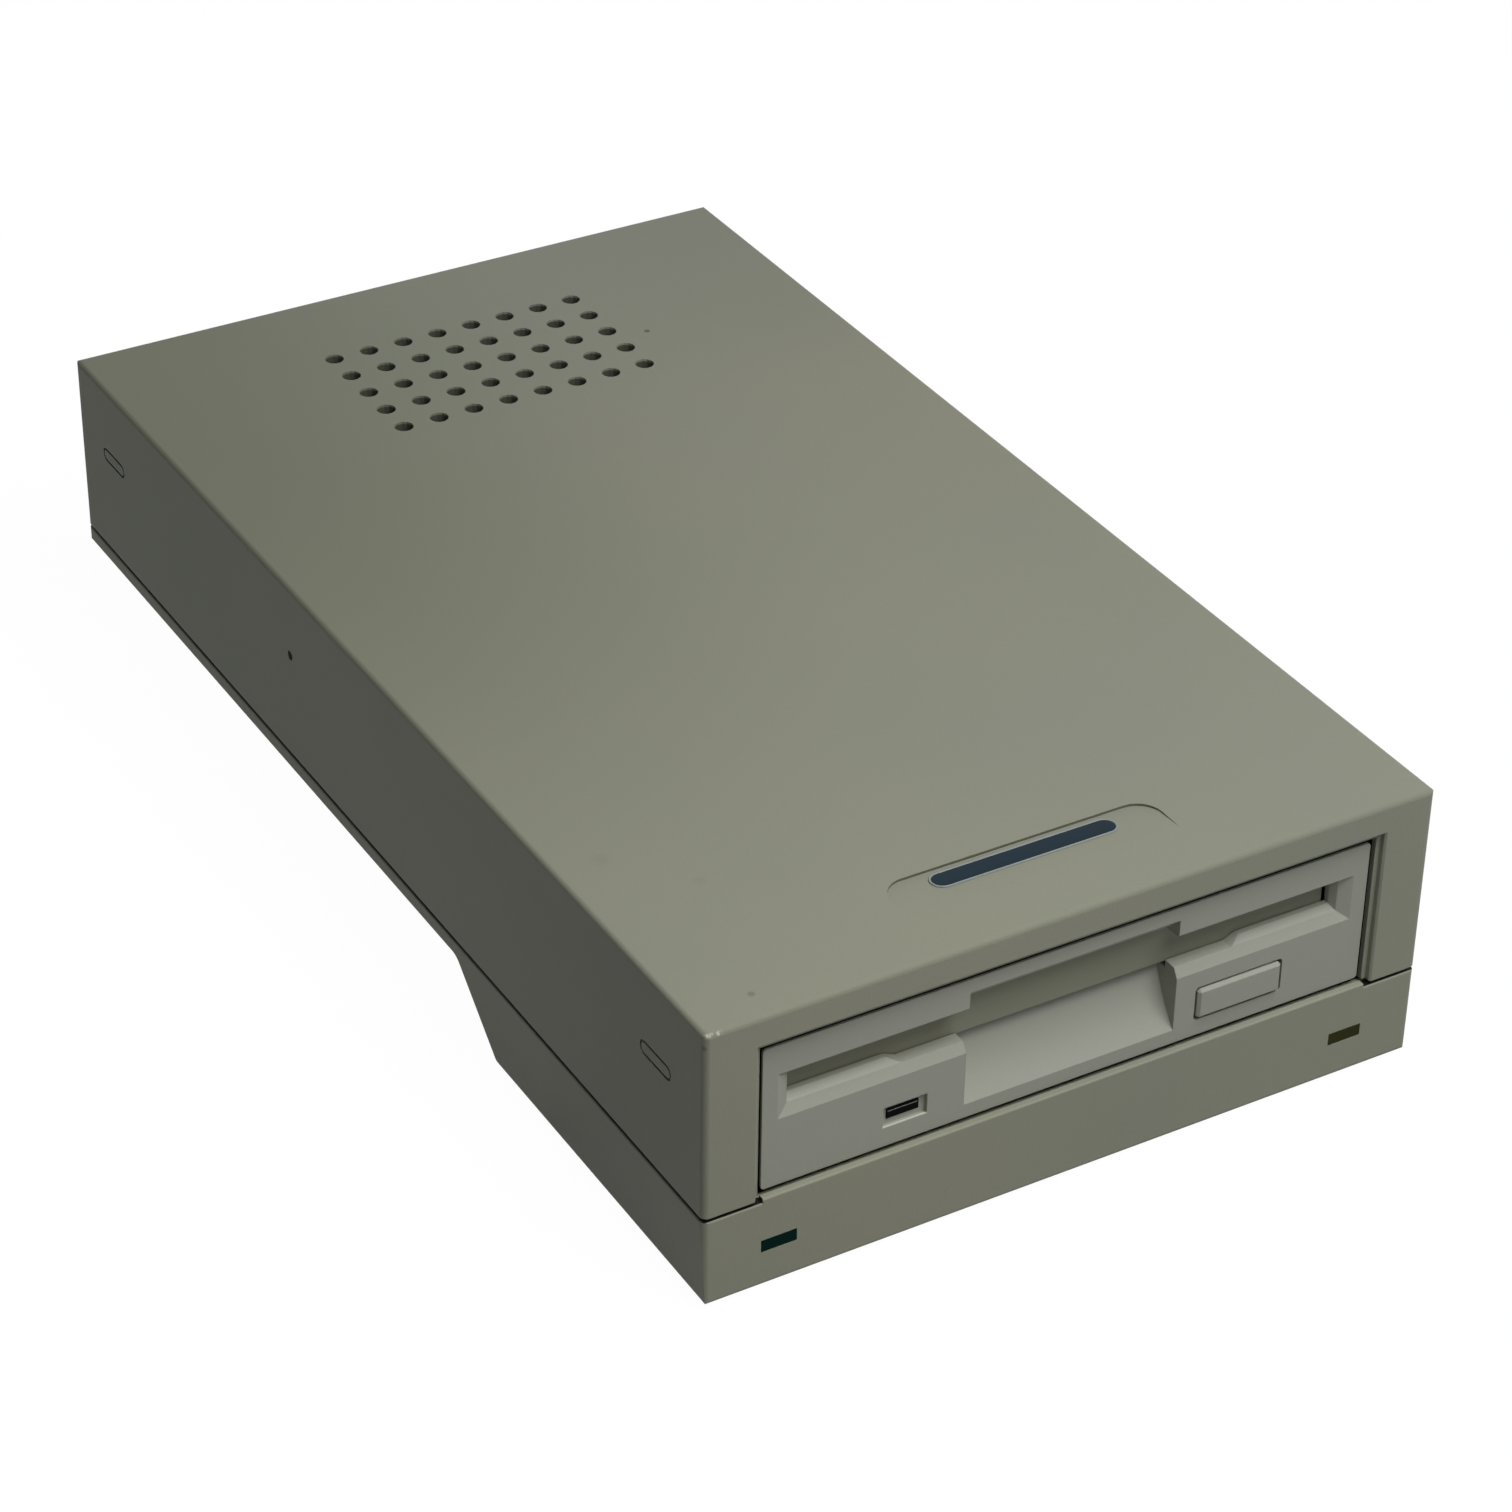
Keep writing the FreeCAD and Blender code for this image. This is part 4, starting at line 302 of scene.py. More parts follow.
# %% [markdown]
# ## The case plastic
# The case's colour is painted darker towards its left rear, as painted shade where the light fades,
# and it has a few small marks. Dark gaps need care: the seam, the slit round the drive and the walls
# of the vents are too deep for light to come back out of them, so soft boxes on the Object coordinates
# paint shade on exactly those walls. The raised wall of the recess gets painted shade too; it follows
# a sloping floor, so its mask measures the height above that slope. The rounded front edge of the lid
# is painted darker, as painted shade over its highlight.

# %% Sizes on the case, in millimetres
CASE_COLOUR = (0.292, 0.296, 0.222, 1)
CASE_COOL = (0.27, 0.281, 0.222, 1)
# Painted shade: the colour that the left rear of the case and its rounded front edge are darkened to.
CASE_SHADE_COLOUR = (0.170, 0.181, 0.127, 1)
# Dark for the dirt marks, and for the painted shade on the recess wall.
DIRT_AND_SHADE_DARK = (0.09, 0.09, 0.075, 1)
MARK_LIGHT = (0.6, 0.58, 0.47, 1)
GAP_SHADE = (0.012, 0.012, 0.01, 1)
# Where and how strongly the painted shade darkens the left rear of the case.
SHADE_FADE_X = 30, -62
SHADE_FADE_Y = -95, 60
SHADE_FADE_SHARE = 0.95
# The place, size, softness and strength of each mark.
MARKS = [
    ((28.5, 70.2, 47.9), 0.3, 0.4, 0.9),
    ((-50.5, -102.0, 47.9), 0.2, 0.6, 0.45),
    ((-53.3, -64.5, 47.9), 0.5, 1.5, 0.08),
    ((-43.5, -75.6, 47.9), 0.3, 1.2, 0.08),
    ((-60.5, -106.9, 45.6), 0.1, 0.5, 0.5),
]
RUBBED_EDGE = {"x": (-60.6, -57.9), "y": (-107.5, -106.8), "z": (47.25, 47.8)}
RUBBED_CORNER = (-60.2, -106.9, 47.5), 0.15, 0.35
RUBBED_SHARE = 0.8
SCUFF_SCALE = 1700
RECESS_REAR = (-88.8, 47.4)
RECESS_FRONT = (-97.0, 47.9)
RECESS_SLOPE = (RECESS_FRONT[1] - RECESS_REAR[1]) / (RECESS_FRONT[0] - RECESS_REAR[0])
RECESS_LEVEL = RECESS_REAR[1] - RECESS_REAR[0] * RECESS_SLOPE
# The box on the recess wall that gets painted shade.
RECESS_WALL = {"x": (-23.2, 23.2), "y": (-96.5, -88.6), "z": (47.0, 47.85)}
RECESS_SHADE_SHARE = 0.8
# Painted shade over the highlight on the rounded front edge of the lid.
FRONT_EDGE_SHADE = {"y": (-108.0, -106.7), "z": (47.3, 48.0)}
FRONT_EDGE_SHADE_SHARE = 0.45
# Boxes that get painted shade: the slit round the drive and the seam between lid and base.
CASE_GAPS = [
    {"x": (-52.3, 52.3), "y": (-105.3, -99.0), "z": (16.35, 42.9)},
    {"x": (-62.0, -59.6), "y": (-107.15, 109.0), "z": (15.68, 16.43)},
    {"x": (59.6, 62.0), "y": (-107.15, 109.0), "z": (15.68, 16.43)},
    {"x": (-59.6, -51.15), "y": (-107.15, -105.8), "z": (15.68, 16.43)},
    {"x": (51.15, 59.6), "y": (-107.15, -105.8), "z": (15.68, 16.43)},
]
# Painted shade on the walls of the vent holes.
VENT_WALLS = {"x": (-25.0, 25.0), "y": (58.0, 89.0), "z": (44.0, 47.5)}
VENT_SHADE = (0.085, 0.09, 0.068, 1)
print(len(MARKS), "marks and", len(CASE_GAPS), "gaps on the case")

# %% Paint the case plastic
case_plastic, colour = moulded("case_plastic", CASE_COLOUR, CASE_COOL, 0.03, 0.5, 0.15)
# Painted shade: the case is painted darker towards its left rear, where the light fades.
shade_fade_side = case_plastic.over(case_plastic.axis("x"), *SHADE_FADE_X)
shade_fade = shade_fade_side * case_plastic.over(case_plastic.axis("y"), *SHADE_FADE_Y)
colour = case_plastic.blend(shade_fade * SHADE_FADE_SHARE, colour, CASE_SHADE_COLOUR)
for place, size, soft, strength in MARKS:
    colour = case_plastic.blend(case_plastic.spot(place, size, soft) * strength, colour, DIRT_AND_SHADE_DARK)
# Painted shade in the vent walls, the seam and the slit round the drive.
colour = case_plastic.blend(case_plastic.inside(**VENT_WALLS), colour, VENT_SHADE)
for limits in CASE_GAPS:
    colour = case_plastic.blend(case_plastic.inside(**limits), colour, GAP_SHADE)
# Painted shade on the raised wall of the recess.
above_recess = case_plastic.axis("z") - case_plastic.axis("y") * RECESS_SLOPE - RECESS_LEVEL
recess_wall_shade = case_plastic.over(above_recess, 0.03, 0.07) * case_plastic.inside(0.02, **RECESS_WALL)
colour = case_plastic.blend(recess_wall_shade * RECESS_SHADE_SHARE, colour, DIRT_AND_SHADE_DARK)
# Painted shade: the rounded front edge is darkened where its highlight would be.
front_edge_shade = case_plastic.inside(0.25, **FRONT_EDGE_SHADE)
colour = case_plastic.blend(front_edge_shade * FRONT_EDGE_SHADE_SHARE, colour, CASE_SHADE_COLOUR)
scuffs = case_plastic.steps(case_plastic.noise(SCUFF_SCALE, 3, 0.6), (0.46, 0.0), (0.62, 1.0))
rubbed = case_plastic.inside(0.2, **RUBBED_EDGE) * scuffs
rubbed = rubbed.math("MAXIMUM", rubbed, case_plastic.spot(*RUBBED_CORNER))
colour = case_plastic.blend(rubbed * RUBBED_SHARE, colour, MARK_LIGHT)
case_plastic.wear(Base_Color=colour)
print("case plastic has", len(case_plastic.tree.nodes), "nodes")

# %% [markdown]
# ## The front of the drive
# The drive's own face is a smoother, paler and more neutral plastic than the case around it. Its edges
# lie back in the case's opening, where painted shade makes them dark. The ledge under the drive's lamp
# faces up and catches the light, so a narrow strip of it gets a painted highlight. The dust flap is a
# darker, yellower copy of that plastic, darkened by painted shade.

# %% Bezel plastic
FACE_Y = -105.9
BEZEL_COLOUR = (0.352, 0.360, 0.302, 1)
BEZEL_COOL = (0.340, 0.350, 0.298, 1)
# The flap's colours: the bezel plastic made yellower and darkened by painted shade.
FLAP_SHADED_COLOUR = (0.245, 0.248, 0.182, 1)
FLAP_SHADED_COOL = (0.23, 0.236, 0.176, 1)
# Painted shade on the bezel's edges that lie back in the case's opening.
BEZEL_GAPS = [
    {"x": (-60.0, -50.6), "y": (-105.5, -104.0)},
    {"x": (50.6, 60.0), "y": (-105.5, -104.0)},
    {"z": (10.0, 17.1), "y": (-105.5, -104.0)},
    {"z": (40.8, 45.0), "y": (-105.5, -104.0)},
]
# A painted highlight on the upward-facing ledge under the lamp.
LAMP_LEDGE = {"x": (-31.3, -23.9), "y": (FACE_Y - 0.2, FACE_Y + 0.3), "z": (20.1, 20.3)}
LEDGE_HIGHLIGHT = (0.62, 0.63, 0.56, 1)
LEDGE_HIGHLIGHT_SHARE = 0.85
bezel_plastic, colour = moulded("bezel_plastic", BEZEL_COLOUR, BEZEL_COOL, 0.012, 0.42, 0.2)
for limits in BEZEL_GAPS:
    colour = bezel_plastic.blend(bezel_plastic.inside(**limits), colour, GAP_SHADE)
# Painted highlight on the lamp's ledge.
ledge_highlight = bezel_plastic.inside(0.05, **LAMP_LEDGE)
colour = bezel_plastic.blend(ledge_highlight * LEDGE_HIGHLIGHT_SHARE, colour, LEDGE_HIGHLIGHT)
bezel_plastic.wear(Base_Color=colour)
# Painted shade: the dust flap's plastic is a darker copy of the bezel plastic.
shaded_flap_plastic, colour = moulded("shaded_flap_plastic", FLAP_SHADED_COLOUR, FLAP_SHADED_COOL, 0.012, 0.42, 0.22)
shaded_flap_plastic.wear(Base_Color=colour)
print("bezel plastic has", len(bezel_plastic.tree.nodes), "nodes")

# %% [markdown]
# ## Metals
# Zinc-plated sheet shows a faint crystalline pattern, and turned or drawn parts show fine lines. One
# function makes them all from a brightness, a tint, a roughness and the size of the pattern, which
# can be stretched along one axis.


# %% Metals
def metal(name, level, tint, roughness, scale, stretch=None):
    """Bare or plated metal with a patchy sheen."""
    finish = Finish(name, Metallic=1.0)
    patches = finish.noise(scale, 3, 0.6, stretch)
    shade = finish.blend(patches, grey(level * 0.8, tint), grey(level, tint))
    finish.wear(Base_Color=shade, Roughness=roughness + 0.15 * patches)
    finish.bump(finish.noise(scale * 6, 2), 0.01)
    return finish


metals = {
    "zinc_steel": metal("zinc_steel", 0.6, (1, 1, 0.98), 0.28, 900),
    "zinc_sheet": metal("zinc_sheet", 0.62, (0.98, 1, 1), 0.3, 220),
    "tinned_steel": metal("tinned_steel", 0.66, (1, 1, 0.98), 0.26, 400),
    "polished_steel": metal("polished_steel", 0.6, (1, 1, 1), 0.14, 1200, (0.05, 1, 1)),
    "gold_contact": metal("gold_contact", 0.75, (1, 0.76, 0.36), 0.22, 1500),
    "copper_winding": metal("copper_winding", 0.55, (1, 0.48, 0.28), 0.3, 2000),
    "motor_can": metal("motor_can", 0.4, (1, 1, 1), 0.34, 500),
    "heat_sink": metal("heat_sink", 0.5, (0.97, 0.98, 1), 0.4, 700, (1, 0.05, 1)),
}
print(len(metals), "metals")

# %% [markdown]
# ## Rubber, lenses, boards and small parts
# These are dielectrics: they differ in colour, gloss and in how strong and how fine the grain is. The
# drive's lamp is black, with one fine painted highlight where its edge shines.


# %% Plain materials
def plain(name, colour, roughness, scale, depth, **constants):
    """A non-metal with a soft variation of colour and roughness."""
    finish = Finish(name, **constants)
    clouds = finish.noise(scale, 3, 0.55)
    dark = tuple(channel * 0.82 for channel in colour[:3]) + (1,)
    shade = finish.blend(clouds, dark, colour)
    finish.wear(Base_Color=shade, Roughness=roughness + 0.1 * clouds)
    finish.bump(finish.noise(scale * 8, 2), depth)
    return finish


plains = {
    "rubber": plain("rubber", (0.022, 0.022, 0.021, 1), 0.75, 300, 0.03),
    "green_lens": plain("green_lens", (0.0048, 0.024, 0.019, 1), 0.3, 150, 0.002, Specular_IOR_Level=0.0),
    "amber_lens": plain("amber_lens", (0.045, 0.049, 0.018, 1), 0.3, 150, 0.002, Specular_IOR_Level=0.0),
    "lamp_black": plain("lamp_black", (0.002, 0.002, 0.002, 1), 0.12, 200, 0.001, Specular_IOR_Level=0.02),
    "painted_steel": plain("painted_steel", (0.30, 0.30, 0.26, 1), 0.5, 200, 0.01),
    "black_plastic": plain("black_plastic", (0.018, 0.018, 0.019, 1), 0.42, 500, 0.01),
    "board_green": plain("board_green", (0.018, 0.085, 0.040, 1), 0.35, 120, 0.005, Coat_Weight=0.3),
    "chip_black": plain("chip_black", (0.016, 0.016, 0.017, 1), 0.5, 900, 0.01),
    "capacitor_sleeve": plain("capacitor_sleeve", (0.02, 0.03, 0.09, 1), 0.3, 200, 0.003),
    "ribbon_grey": plain("ribbon_grey", (0.32, 0.32, 0.31, 1), 0.5, 300, 0.01),
    "wire_red": plain("wire_red", (0.32, 0.02, 0.015, 1), 0.4, 300, 0.005),
    "led_body": plain("led_body", (0.35, 0.38, 0.30, 1), 0.2, 300, 0.002, Transmission_Weight=0.3),
    "carriage_plastic": plain("carriage_plastic", (0.03, 0.03, 0.032, 1), 0.5, 500, 0.01),
    "head_ceramic": plain("head_ceramic", (0.05, 0.048, 0.045, 1), 0.25, 500, 0.002),
}
# A painted highlight: one fine grey line on the lamp's edge.
LAMP_GLINT = {"x": (-30.15, -25.3), "z": (22.36, 22.48)}
LAMP_DARK = 0.002
GLINT_LEVEL = 0.35
lamp = plains["lamp_black"]
lamp.wear(Base_Color=lamp.blend(lamp.inside(0.06, **LAMP_GLINT), grey(LAMP_DARK), grey(GLINT_LEVEL)))

finishes = {"case_plastic": case_plastic, "bezel_plastic": bezel_plastic, **metals, **plains}
print(len(finishes), "finishes")

# %% [markdown]
# ## Dressing the CAD parts
# The CAD record says which finish each part takes. A CAD part keeps its mesh, and only the material in
# its slot changes.

# %% Put each finish on its parts
slot_of = {part["node"]: part["material_slot"] for part in frame["record"]["subparts"]}
for name, node in nodes.items():
    node.data.materials.clear()
    finish = shaded_flap_plastic if name == "dust_flap" else finishes[slot_of[name]]
    node.data.materials.append(finish.material)
print({slot: list(slot_of.values()).count(slot) for slot in sorted(set(slot_of.values()))})

# %% [markdown]
# ## Growing fasteners with Geometry Nodes
# Screws repeat, so they are grown by a Geometry Nodes tree: one screw is shaped from a few named sizes
# and instanced on a point for each place. The tree ends in Realize Instances and Set Material, the
# result becomes a plain mesh, and the modifier is dropped, so that nothing live is left behind.


# %% The class that builds a geometry tree
class Growth(Nodes):
    """A Geometry Nodes tree with named inputs."""

    KINDS = {float: "NodeSocketFloat", tuple: "NodeSocketRotation"}

    def __init__(self, name, **sizes):
        self.tree = bpy.data.node_groups.new(name, "GeometryNodeTree")
        face = self.tree.interface
        face.new_socket("Geometry", in_out="INPUT", socket_type="NodeSocketGeometry")
        face.new_socket("Geometry", in_out="OUTPUT", socket_type="NodeSocketGeometry")
        face.new_socket("finish", in_out="INPUT", socket_type="NodeSocketMaterial")
        for size, value in sizes.items():
            socket = face.new_socket(size, in_out="INPUT", socket_type=self.KINDS[type(value)])
            socket.default_value = value
        self.given = self.tree.nodes.new("NodeGroupInput")
        self.result = self.tree.nodes.new("NodeGroupOutput")

    def size(self, name):
        return Value(self, self.given.outputs[name])

    def vector(self, x, y, z):
        return self.add("ShaderNodeCombineXYZ", {}, {"X": x, "Y": y, "Z": z})

    def place(self):
        """The x, y and z of every point of the mesh."""
        position = self.add("GeometryNodeInputPosition", {}, {})
        return [self.add("ShaderNodeSeparateXYZ", {}, {0: position}, axis) for axis in "XYZ"]

    def moved(self, mesh, x, y, z):
        values = {"Geometry": mesh, "Translation": self.vector(x, y, z)}
        return self.add("GeometryNodeTransform", {}, values)

    def finish(self, mesh):
        """Instances the mesh on the given points and hands it over as plain geometry."""
        places = {"Points": self.size("Geometry"), "Instance": mesh, "Rotation": self.size("turn")}
        copies = self.add("GeometryNodeInstanceOnPoints", {}, places)
        real = self.add("GeometryNodeRealizeInstances", {}, {0: copies})
        values = {"Geometry": real, "Material": self.size("finish")}
        dressed = self.add("GeometryNodeSetMaterial", {}, values)
        self.tree.links.new(dressed.socket, self.result.inputs[0])


def grow(name, growth, points, finish, **sizes):
    """A plain mesh piece, grown by a tree on points in millimetres."""
    seed = bpy.data.meshes.new(name)
    seed.from_pydata([mm(*point) for point in points], [], [])
    piece = bpy.data.objects.new(name, seed)
    scene.collection.objects.link(piece)
    modifier = piece.modifiers.new("growth", "NODES")
    modifier.node_group = growth.tree
    sizes["finish"] = finish.material
    for socket in growth.tree.interface.items_tree:
        if socket.in_out == "INPUT" and socket.name in sizes:
            modifier[socket.identifier] = sizes[socket.name]
    bpy.context.view_layer.update()
    grown = bpy.data.meshes.new_from_object(piece.evaluated_get(bpy.context.evaluated_depsgraph_get()))
    piece.modifiers.remove(modifier)
    piece.data = grown
    grown.name = name
    print(name, len(grown.polygons), "faces")
    return piece


# %% [markdown]
# ## The thread
# A thread could be turned by a Screw modifier. Here it is a cylinder whose radius rises and falls with
# height plus angle, which makes a true helix with few faces, and one function serves every screw.


# %% A threaded rod
THREAD_SIDES = 16
ROWS_PER_TURN = 6


def helix(growth, radius, length, pitch, depth):
    """A threaded rod that stands on the origin."""
    rows = (length / pitch) * ROWS_PER_TURN
    rod = growth.add("GeometryNodeMeshCylinder", {}, {
        "Vertices": THREAD_SIDES, "Side Segments": rows, "Radius": radius, "Depth": length})
    x, y, z = growth.place()
    wave = x.math("SINE", z / pitch * math.tau + x.math("ARCTAN2", y, x))
    shrink = (wave - 1) * 0.5 * (depth / radius)
    rod = growth.add("GeometryNodeSetPosition", {}, {
        "Geometry": rod, "Offset": growth.vector(x * shrink, y * shrink, 0.0)})
    return growth.moved(rod, 0.0, 0.0, length * 0.5)


# %% [markdown]
# ## The screw
# A screw is a thread and a head. The head is a shallow drum with a domed crown, and two crossed bars
# are cut out of it with a Boolean for the driver.


# %% The screw with a crossed recess
HEAD_SIDES = 28
CROWN_RINGS = 4
BAR_REACH = 1.15
BAR_HEIGHT = 1.2
BAR_LEVEL = -1.05
THREAD_DEPTH = 0.14


def screw_tree():
    """One screw on each point: its head below, its thread above."""
    growth = Growth("cross_screw", head=0.0027, rise=0.0018, dome=0.0005, cross=0.0007,
                    shank=0.0015, length=0.008, pitch=0.0009, turn=(0.0, 0.0, 0.0))
    head, rise, dome, cross = (growth.size(name) for name in ("head", "rise", "dome", "cross"))
    drum = growth.add("GeometryNodeMeshCylinder", {"fill_type": "TRIANGLE_FAN"}, {
        "Vertices": HEAD_SIDES, "Side Segments": 1, "Fill Segments": CROWN_RINGS,
        "Radius": head, "Depth": rise})
    x, y, z = growth.place()
    crown = (x * x + y * y) / (head * head) * dome * z.math("LESS_THAN", z, 0.0)
    drum = growth.add("GeometryNodeSetPosition", {}, {
        "Geometry": drum, "Offset": growth.vector(0.0, 0.0, crown)})
    drum = growth.moved(drum, 0.0, 0.0, rise * -0.5)
    bars = []
    for wide, long in ((cross, head * BAR_REACH), (head * BAR_REACH, cross)):
        bar = growth.add("GeometryNodeMeshCube", {}, {"Size": growth.vector(wide, long, rise * BAR_HEIGHT)})
        bars.append(growth.moved(bar, 0.0, 0.0, rise * BAR_LEVEL))
    head_cut = growth.add("GeometryNodeMeshBoolean", {"operation": "DIFFERENCE"}, {
        "Mesh 1": drum, "Mesh 2": bars})
    thread = helix(growth, growth.size("shank"), growth.size("length"), growth.size("pitch"),
                   growth.size("shank") * THREAD_DEPTH)
    growth.finish(growth.add("GeometryNodeJoinGeometry", {}, {0: [head_cut, thread]}))
    return growth


# %% [markdown]
# ## Where the screws go
# Most screws come in mirrored pairs. Each set gives the places of the heads' inner faces, the way the
# thread points, and then, in millimetres, the head's radius and height and the thread's radius and
# length.


# %% The sets of screws
def pairs(x, ys, z):
    """Mirrored places in millimetres, one on each side for every y."""
    return [(side * x, y, z) for y in ys for side in (-1, 1)]


UPWARD = (0.0, 0.0, 0.0)
DOWNWARD = (math.pi, 0.0, 0.0)
LEFTWARD = (0.0, -math.pi / 2, 0.0)
RIGHTWARD = (0.0, math.pi / 2, 0.0)
SCREWS = {
    "case_screws": [
        (pairs(54.2, (-92.0,), 5.5), UPWARD, 2.7, 1.8, 1.5, 17.5),
        (pairs(54.2, (92.0,), 15.3), UPWARD, 2.7, 1.8, 1.5, 7.5),
    ],
    "drive_screws": [
        (pairs(45.8, (-80.0,), 12.5), UPWARD, 2.0, 1.5, 1.5, 4.6),
        (pairs(45.8, (25.0,), 15.3), UPWARD, 2.6, 1.5, 1.5, 1.8),
    ],
    "board_screws": [(pairs(46.0, (52.0, 84.0), 18.4), DOWNWARD, 2.2, 1.5, 1.2, 3.6)],
    "led_board_screws": [(pairs(30.0, (-100.3,), 6.9), DOWNWARD, 2.2, 1.5, 1.2, 2.8)],
    "shield_screws": [
        ([(51.3, y, 38.0) for y in (-60.0, 28.0)], LEFTWARD, 2.2, 1.0, 1.25, 1.7),
        ([(-51.3, y, 38.0) for y in (-60.0, 28.0)], RIGHTWARD, 2.2, 1.0, 1.25, 1.7),
    ],
}

print(sum(len(points) for sets in SCREWS.values() for points, *sizes in sets), "screws to grow")

# %% [markdown]
# ## Growing the screws
# Every set is grown by the same tree with its own sizes. The sets of one CAD node are joined into one
# piece, which rides on the housing and stands for that node.

# %% Grow every set of screws
DOME_SHARE = 0.3
CROSS_SHARE = 0.26
cross_screw = screw_tree()


def joined(name, parts):
    """Several grown pieces as one piece with one mesh."""
    whole = bmesh.new()
    for part in parts:
        whole.from_mesh(part.data)
    mesh = bpy.data.meshes.new(name)
    whole.to_mesh(mesh)
    whole.free()
    for material in parts[0].data.materials:
        mesh.materials.append(material)
    for part in parts:
        bpy.data.objects.remove(part)
    piece = bpy.data.objects.new(name, mesh)
    scene.collection.objects.link(piece)
    return piece


for node, sets in SCREWS.items():
    grown = []
    for index, (points, turn, head, rise, shank, length) in enumerate(sets):
        sizes = {"head": head * MM, "rise": rise * MM, "shank": shank * MM, "length": length * MM,
                 "dome": rise * DOME_SHARE * MM, "cross": head * CROSS_SHARE * MM, "turn": turn}
        grown.append(grow(f"{node}_{index}", cross_screw, points, finishes[slot_of[node]], **sizes))
    piece = joined(f"crosshead_{node}", grown)
    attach(piece, "housing")
    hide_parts(node)

# %% [markdown]
# ## The lead screw
# The head carriage is pushed by a coarse helical groove in the motor's shaft. The same thread is used,
# with a long pitch, and a plain thin cylinder is the tip that turns in the frame's bearing.


# %% Grow the lead screw
TIP_SINK = -0.45


def lead_screw_tree():
    """The grooved shaft on each point, with its plain tip on the side away from the motor."""
    growth = Growth("helical_shaft", radius=0.0015, length=0.034, pitch=0.003, groove=0.0003,
                    tip=0.001, tip_length=0.0033, turn=(0.0, 0.0, 0.0))
    shaft = helix(growth, growth.size("radius"), growth.size("length"), growth.size("pitch"),
                  growth.size("groove"))
    tip = growth.add("GeometryNodeMeshCylinder", {}, {
        "Vertices": THREAD_SIDES, "Radius": growth.size("tip"), "Depth": growth.size("tip_length")})
    tip = growth.moved(tip, 0.0, 0.0, growth.size("tip_length") * TIP_SINK)
    growth.finish(growth.add("GeometryNodeJoinGeometry", {}, {0: [shaft, tip]}))
    return growth


SHAFT_START = (-14.0, -11.6, 26.0)
REARWARD = (-math.pi / 2, 0.0, 0.0)
shaft = grow("helical_lead_screw", lead_screw_tree(), [SHAFT_START], finishes[slot_of["lead_screw"]],
             turn=REARWARD)
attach(shaft, "screw")
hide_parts("lead_screw")

# %% [markdown]
# ## The badge
# The long recess at the front of the lid slopes down to the rear, and holds a slim enamelled bar with a
# pale painted rim and no words. It is built ring by ring, from the outline of a rounded bar: out, up
# over the rim, and down to the sunk enamel, so that light runs round its edge as on a stamped plate.

# %% Build the badge
BADGE_HALF = 15.6
BADGE_CENTRE_Y = -91.6
BADGE_WIDTH = 4.0
ARC_STEPS = 12
RIM_PROFILE = ((0.05, 0.0), (0.0, 0.06), (0.0, 0.12), (0.06, 0.19), (0.27, 0.19), (0.35, 0.12))
FIELD_PROFILE = ((0.34, 0.10), (0.34, 0.13), (0.55, 0.16), (1.2, 0.18))


def bar_ring(inset, height):
    """The outline of a bar with round ends, at a height above the sloping recess."""
    radius = BADGE_WIDTH / 2 - inset
    straight = BADGE_HALF - BADGE_WIDTH / 2
    ring = []
    for end in (1, -1):
        for step in range(ARC_STEPS + 1):
            angle = math.radians(-90 + 180 * step / ARC_STEPS) + (math.pi if end < 0 else 0)
            x = end * straight + radius * math.cos(angle)
            y = BADGE_CENTRE_Y + radius * math.sin(angle)
            ring.append((x, y, RECESS_LEVEL + y * RECESS_SLOPE + height))
    return ring


def ring_shell(name, rings, finish):
    """A closed piece from outlines that follow each other, capped at both ends."""
    shell = bmesh.new()
    rows = [[shell.verts.new(mm(*point)) for point in ring] for ring in rings]
    for lower, upper in zip(rows, rows[1:]):
        for index in range(len(lower)):
            other = (index + 1) % len(lower)
            shell.faces.new((lower[index], lower[other], upper[other], upper[index]))
    shell.faces.new(rows[0][::-1])
    shell.faces.new(rows[-1])
    bmesh.ops.recalc_face_normals(shell, faces=shell.faces)
    mesh = bpy.data.meshes.new(name)
    shell.to_mesh(mesh)
    shell.free()
    mesh.materials.append(finish.material)
    piece = bpy.data.objects.new(name, mesh)
    scene.collection.objects.link(piece)
    return piece


enamel = plain("badge_enamel", (0.014, 0.03, 0.045, 1), 0.3, 400, 0.003, Specular_IOR_Level=0.05)
edging = plain("badge_edging", (0.30, 0.33, 0.32, 1), 0.35, 600, 0.003, Specular_IOR_Level=0.2)
rim = ring_shell("badge_rim", [bar_ring(*corner) for corner in RIM_PROFILE], edging)
field = ring_shell("badge_field", [bar_ring(*corner) for corner in FIELD_PROFILE], enamel)
for piece, slot in ((rim, "painted_steel"), (field, "black_plastic")):
    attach(piece, "housing")
    print(piece.name, len(piece.data.polygons), "faces")

# %% [markdown]
# ## The floor and the background
# The studio is a plain white sweep. The floor mixes a little real shading into a white glow that only
# the camera and mirror-like rays see, so the page stays white and a soft shadow remains.

# %% Floor
FLOOR_HALF = 3.0
FLOOR_LEVEL = -0.0001
FLOOR_BOUNCE = 0.18
FLOOR_WHITE = 0.95
GLOW_STRENGTH = 1.03
GLOW_SHARE = 0.95
corners = ((-1, -1), (1, -1), (1, 1), (-1, 1))
floor_mesh = bpy.data.meshes.new("floor")
floor_mesh.from_pydata([(x * FLOOR_HALF, y * FLOOR_HALF, FLOOR_LEVEL) for x, y in corners],
                       [], [(0, 1, 2, 3)])
floor = bpy.data.objects.new("floor", floor_mesh)
scene.collection.objects.link(floor)
floor_finish = Finish("floor_paper", Roughness=0.9)
path = floor_finish.tree.nodes.new("ShaderNodeLightPath")
direct = Value(floor_finish, path.outputs["Is Camera Ray"])
mirrored = Value(floor_finish, path.outputs["Is Glossy Ray"])
through = Value(floor_finish, path.outputs["Is Transmission Ray"])
seen = direct.math("MAXIMUM", direct, direct.math("MAXIMUM", mirrored, through))
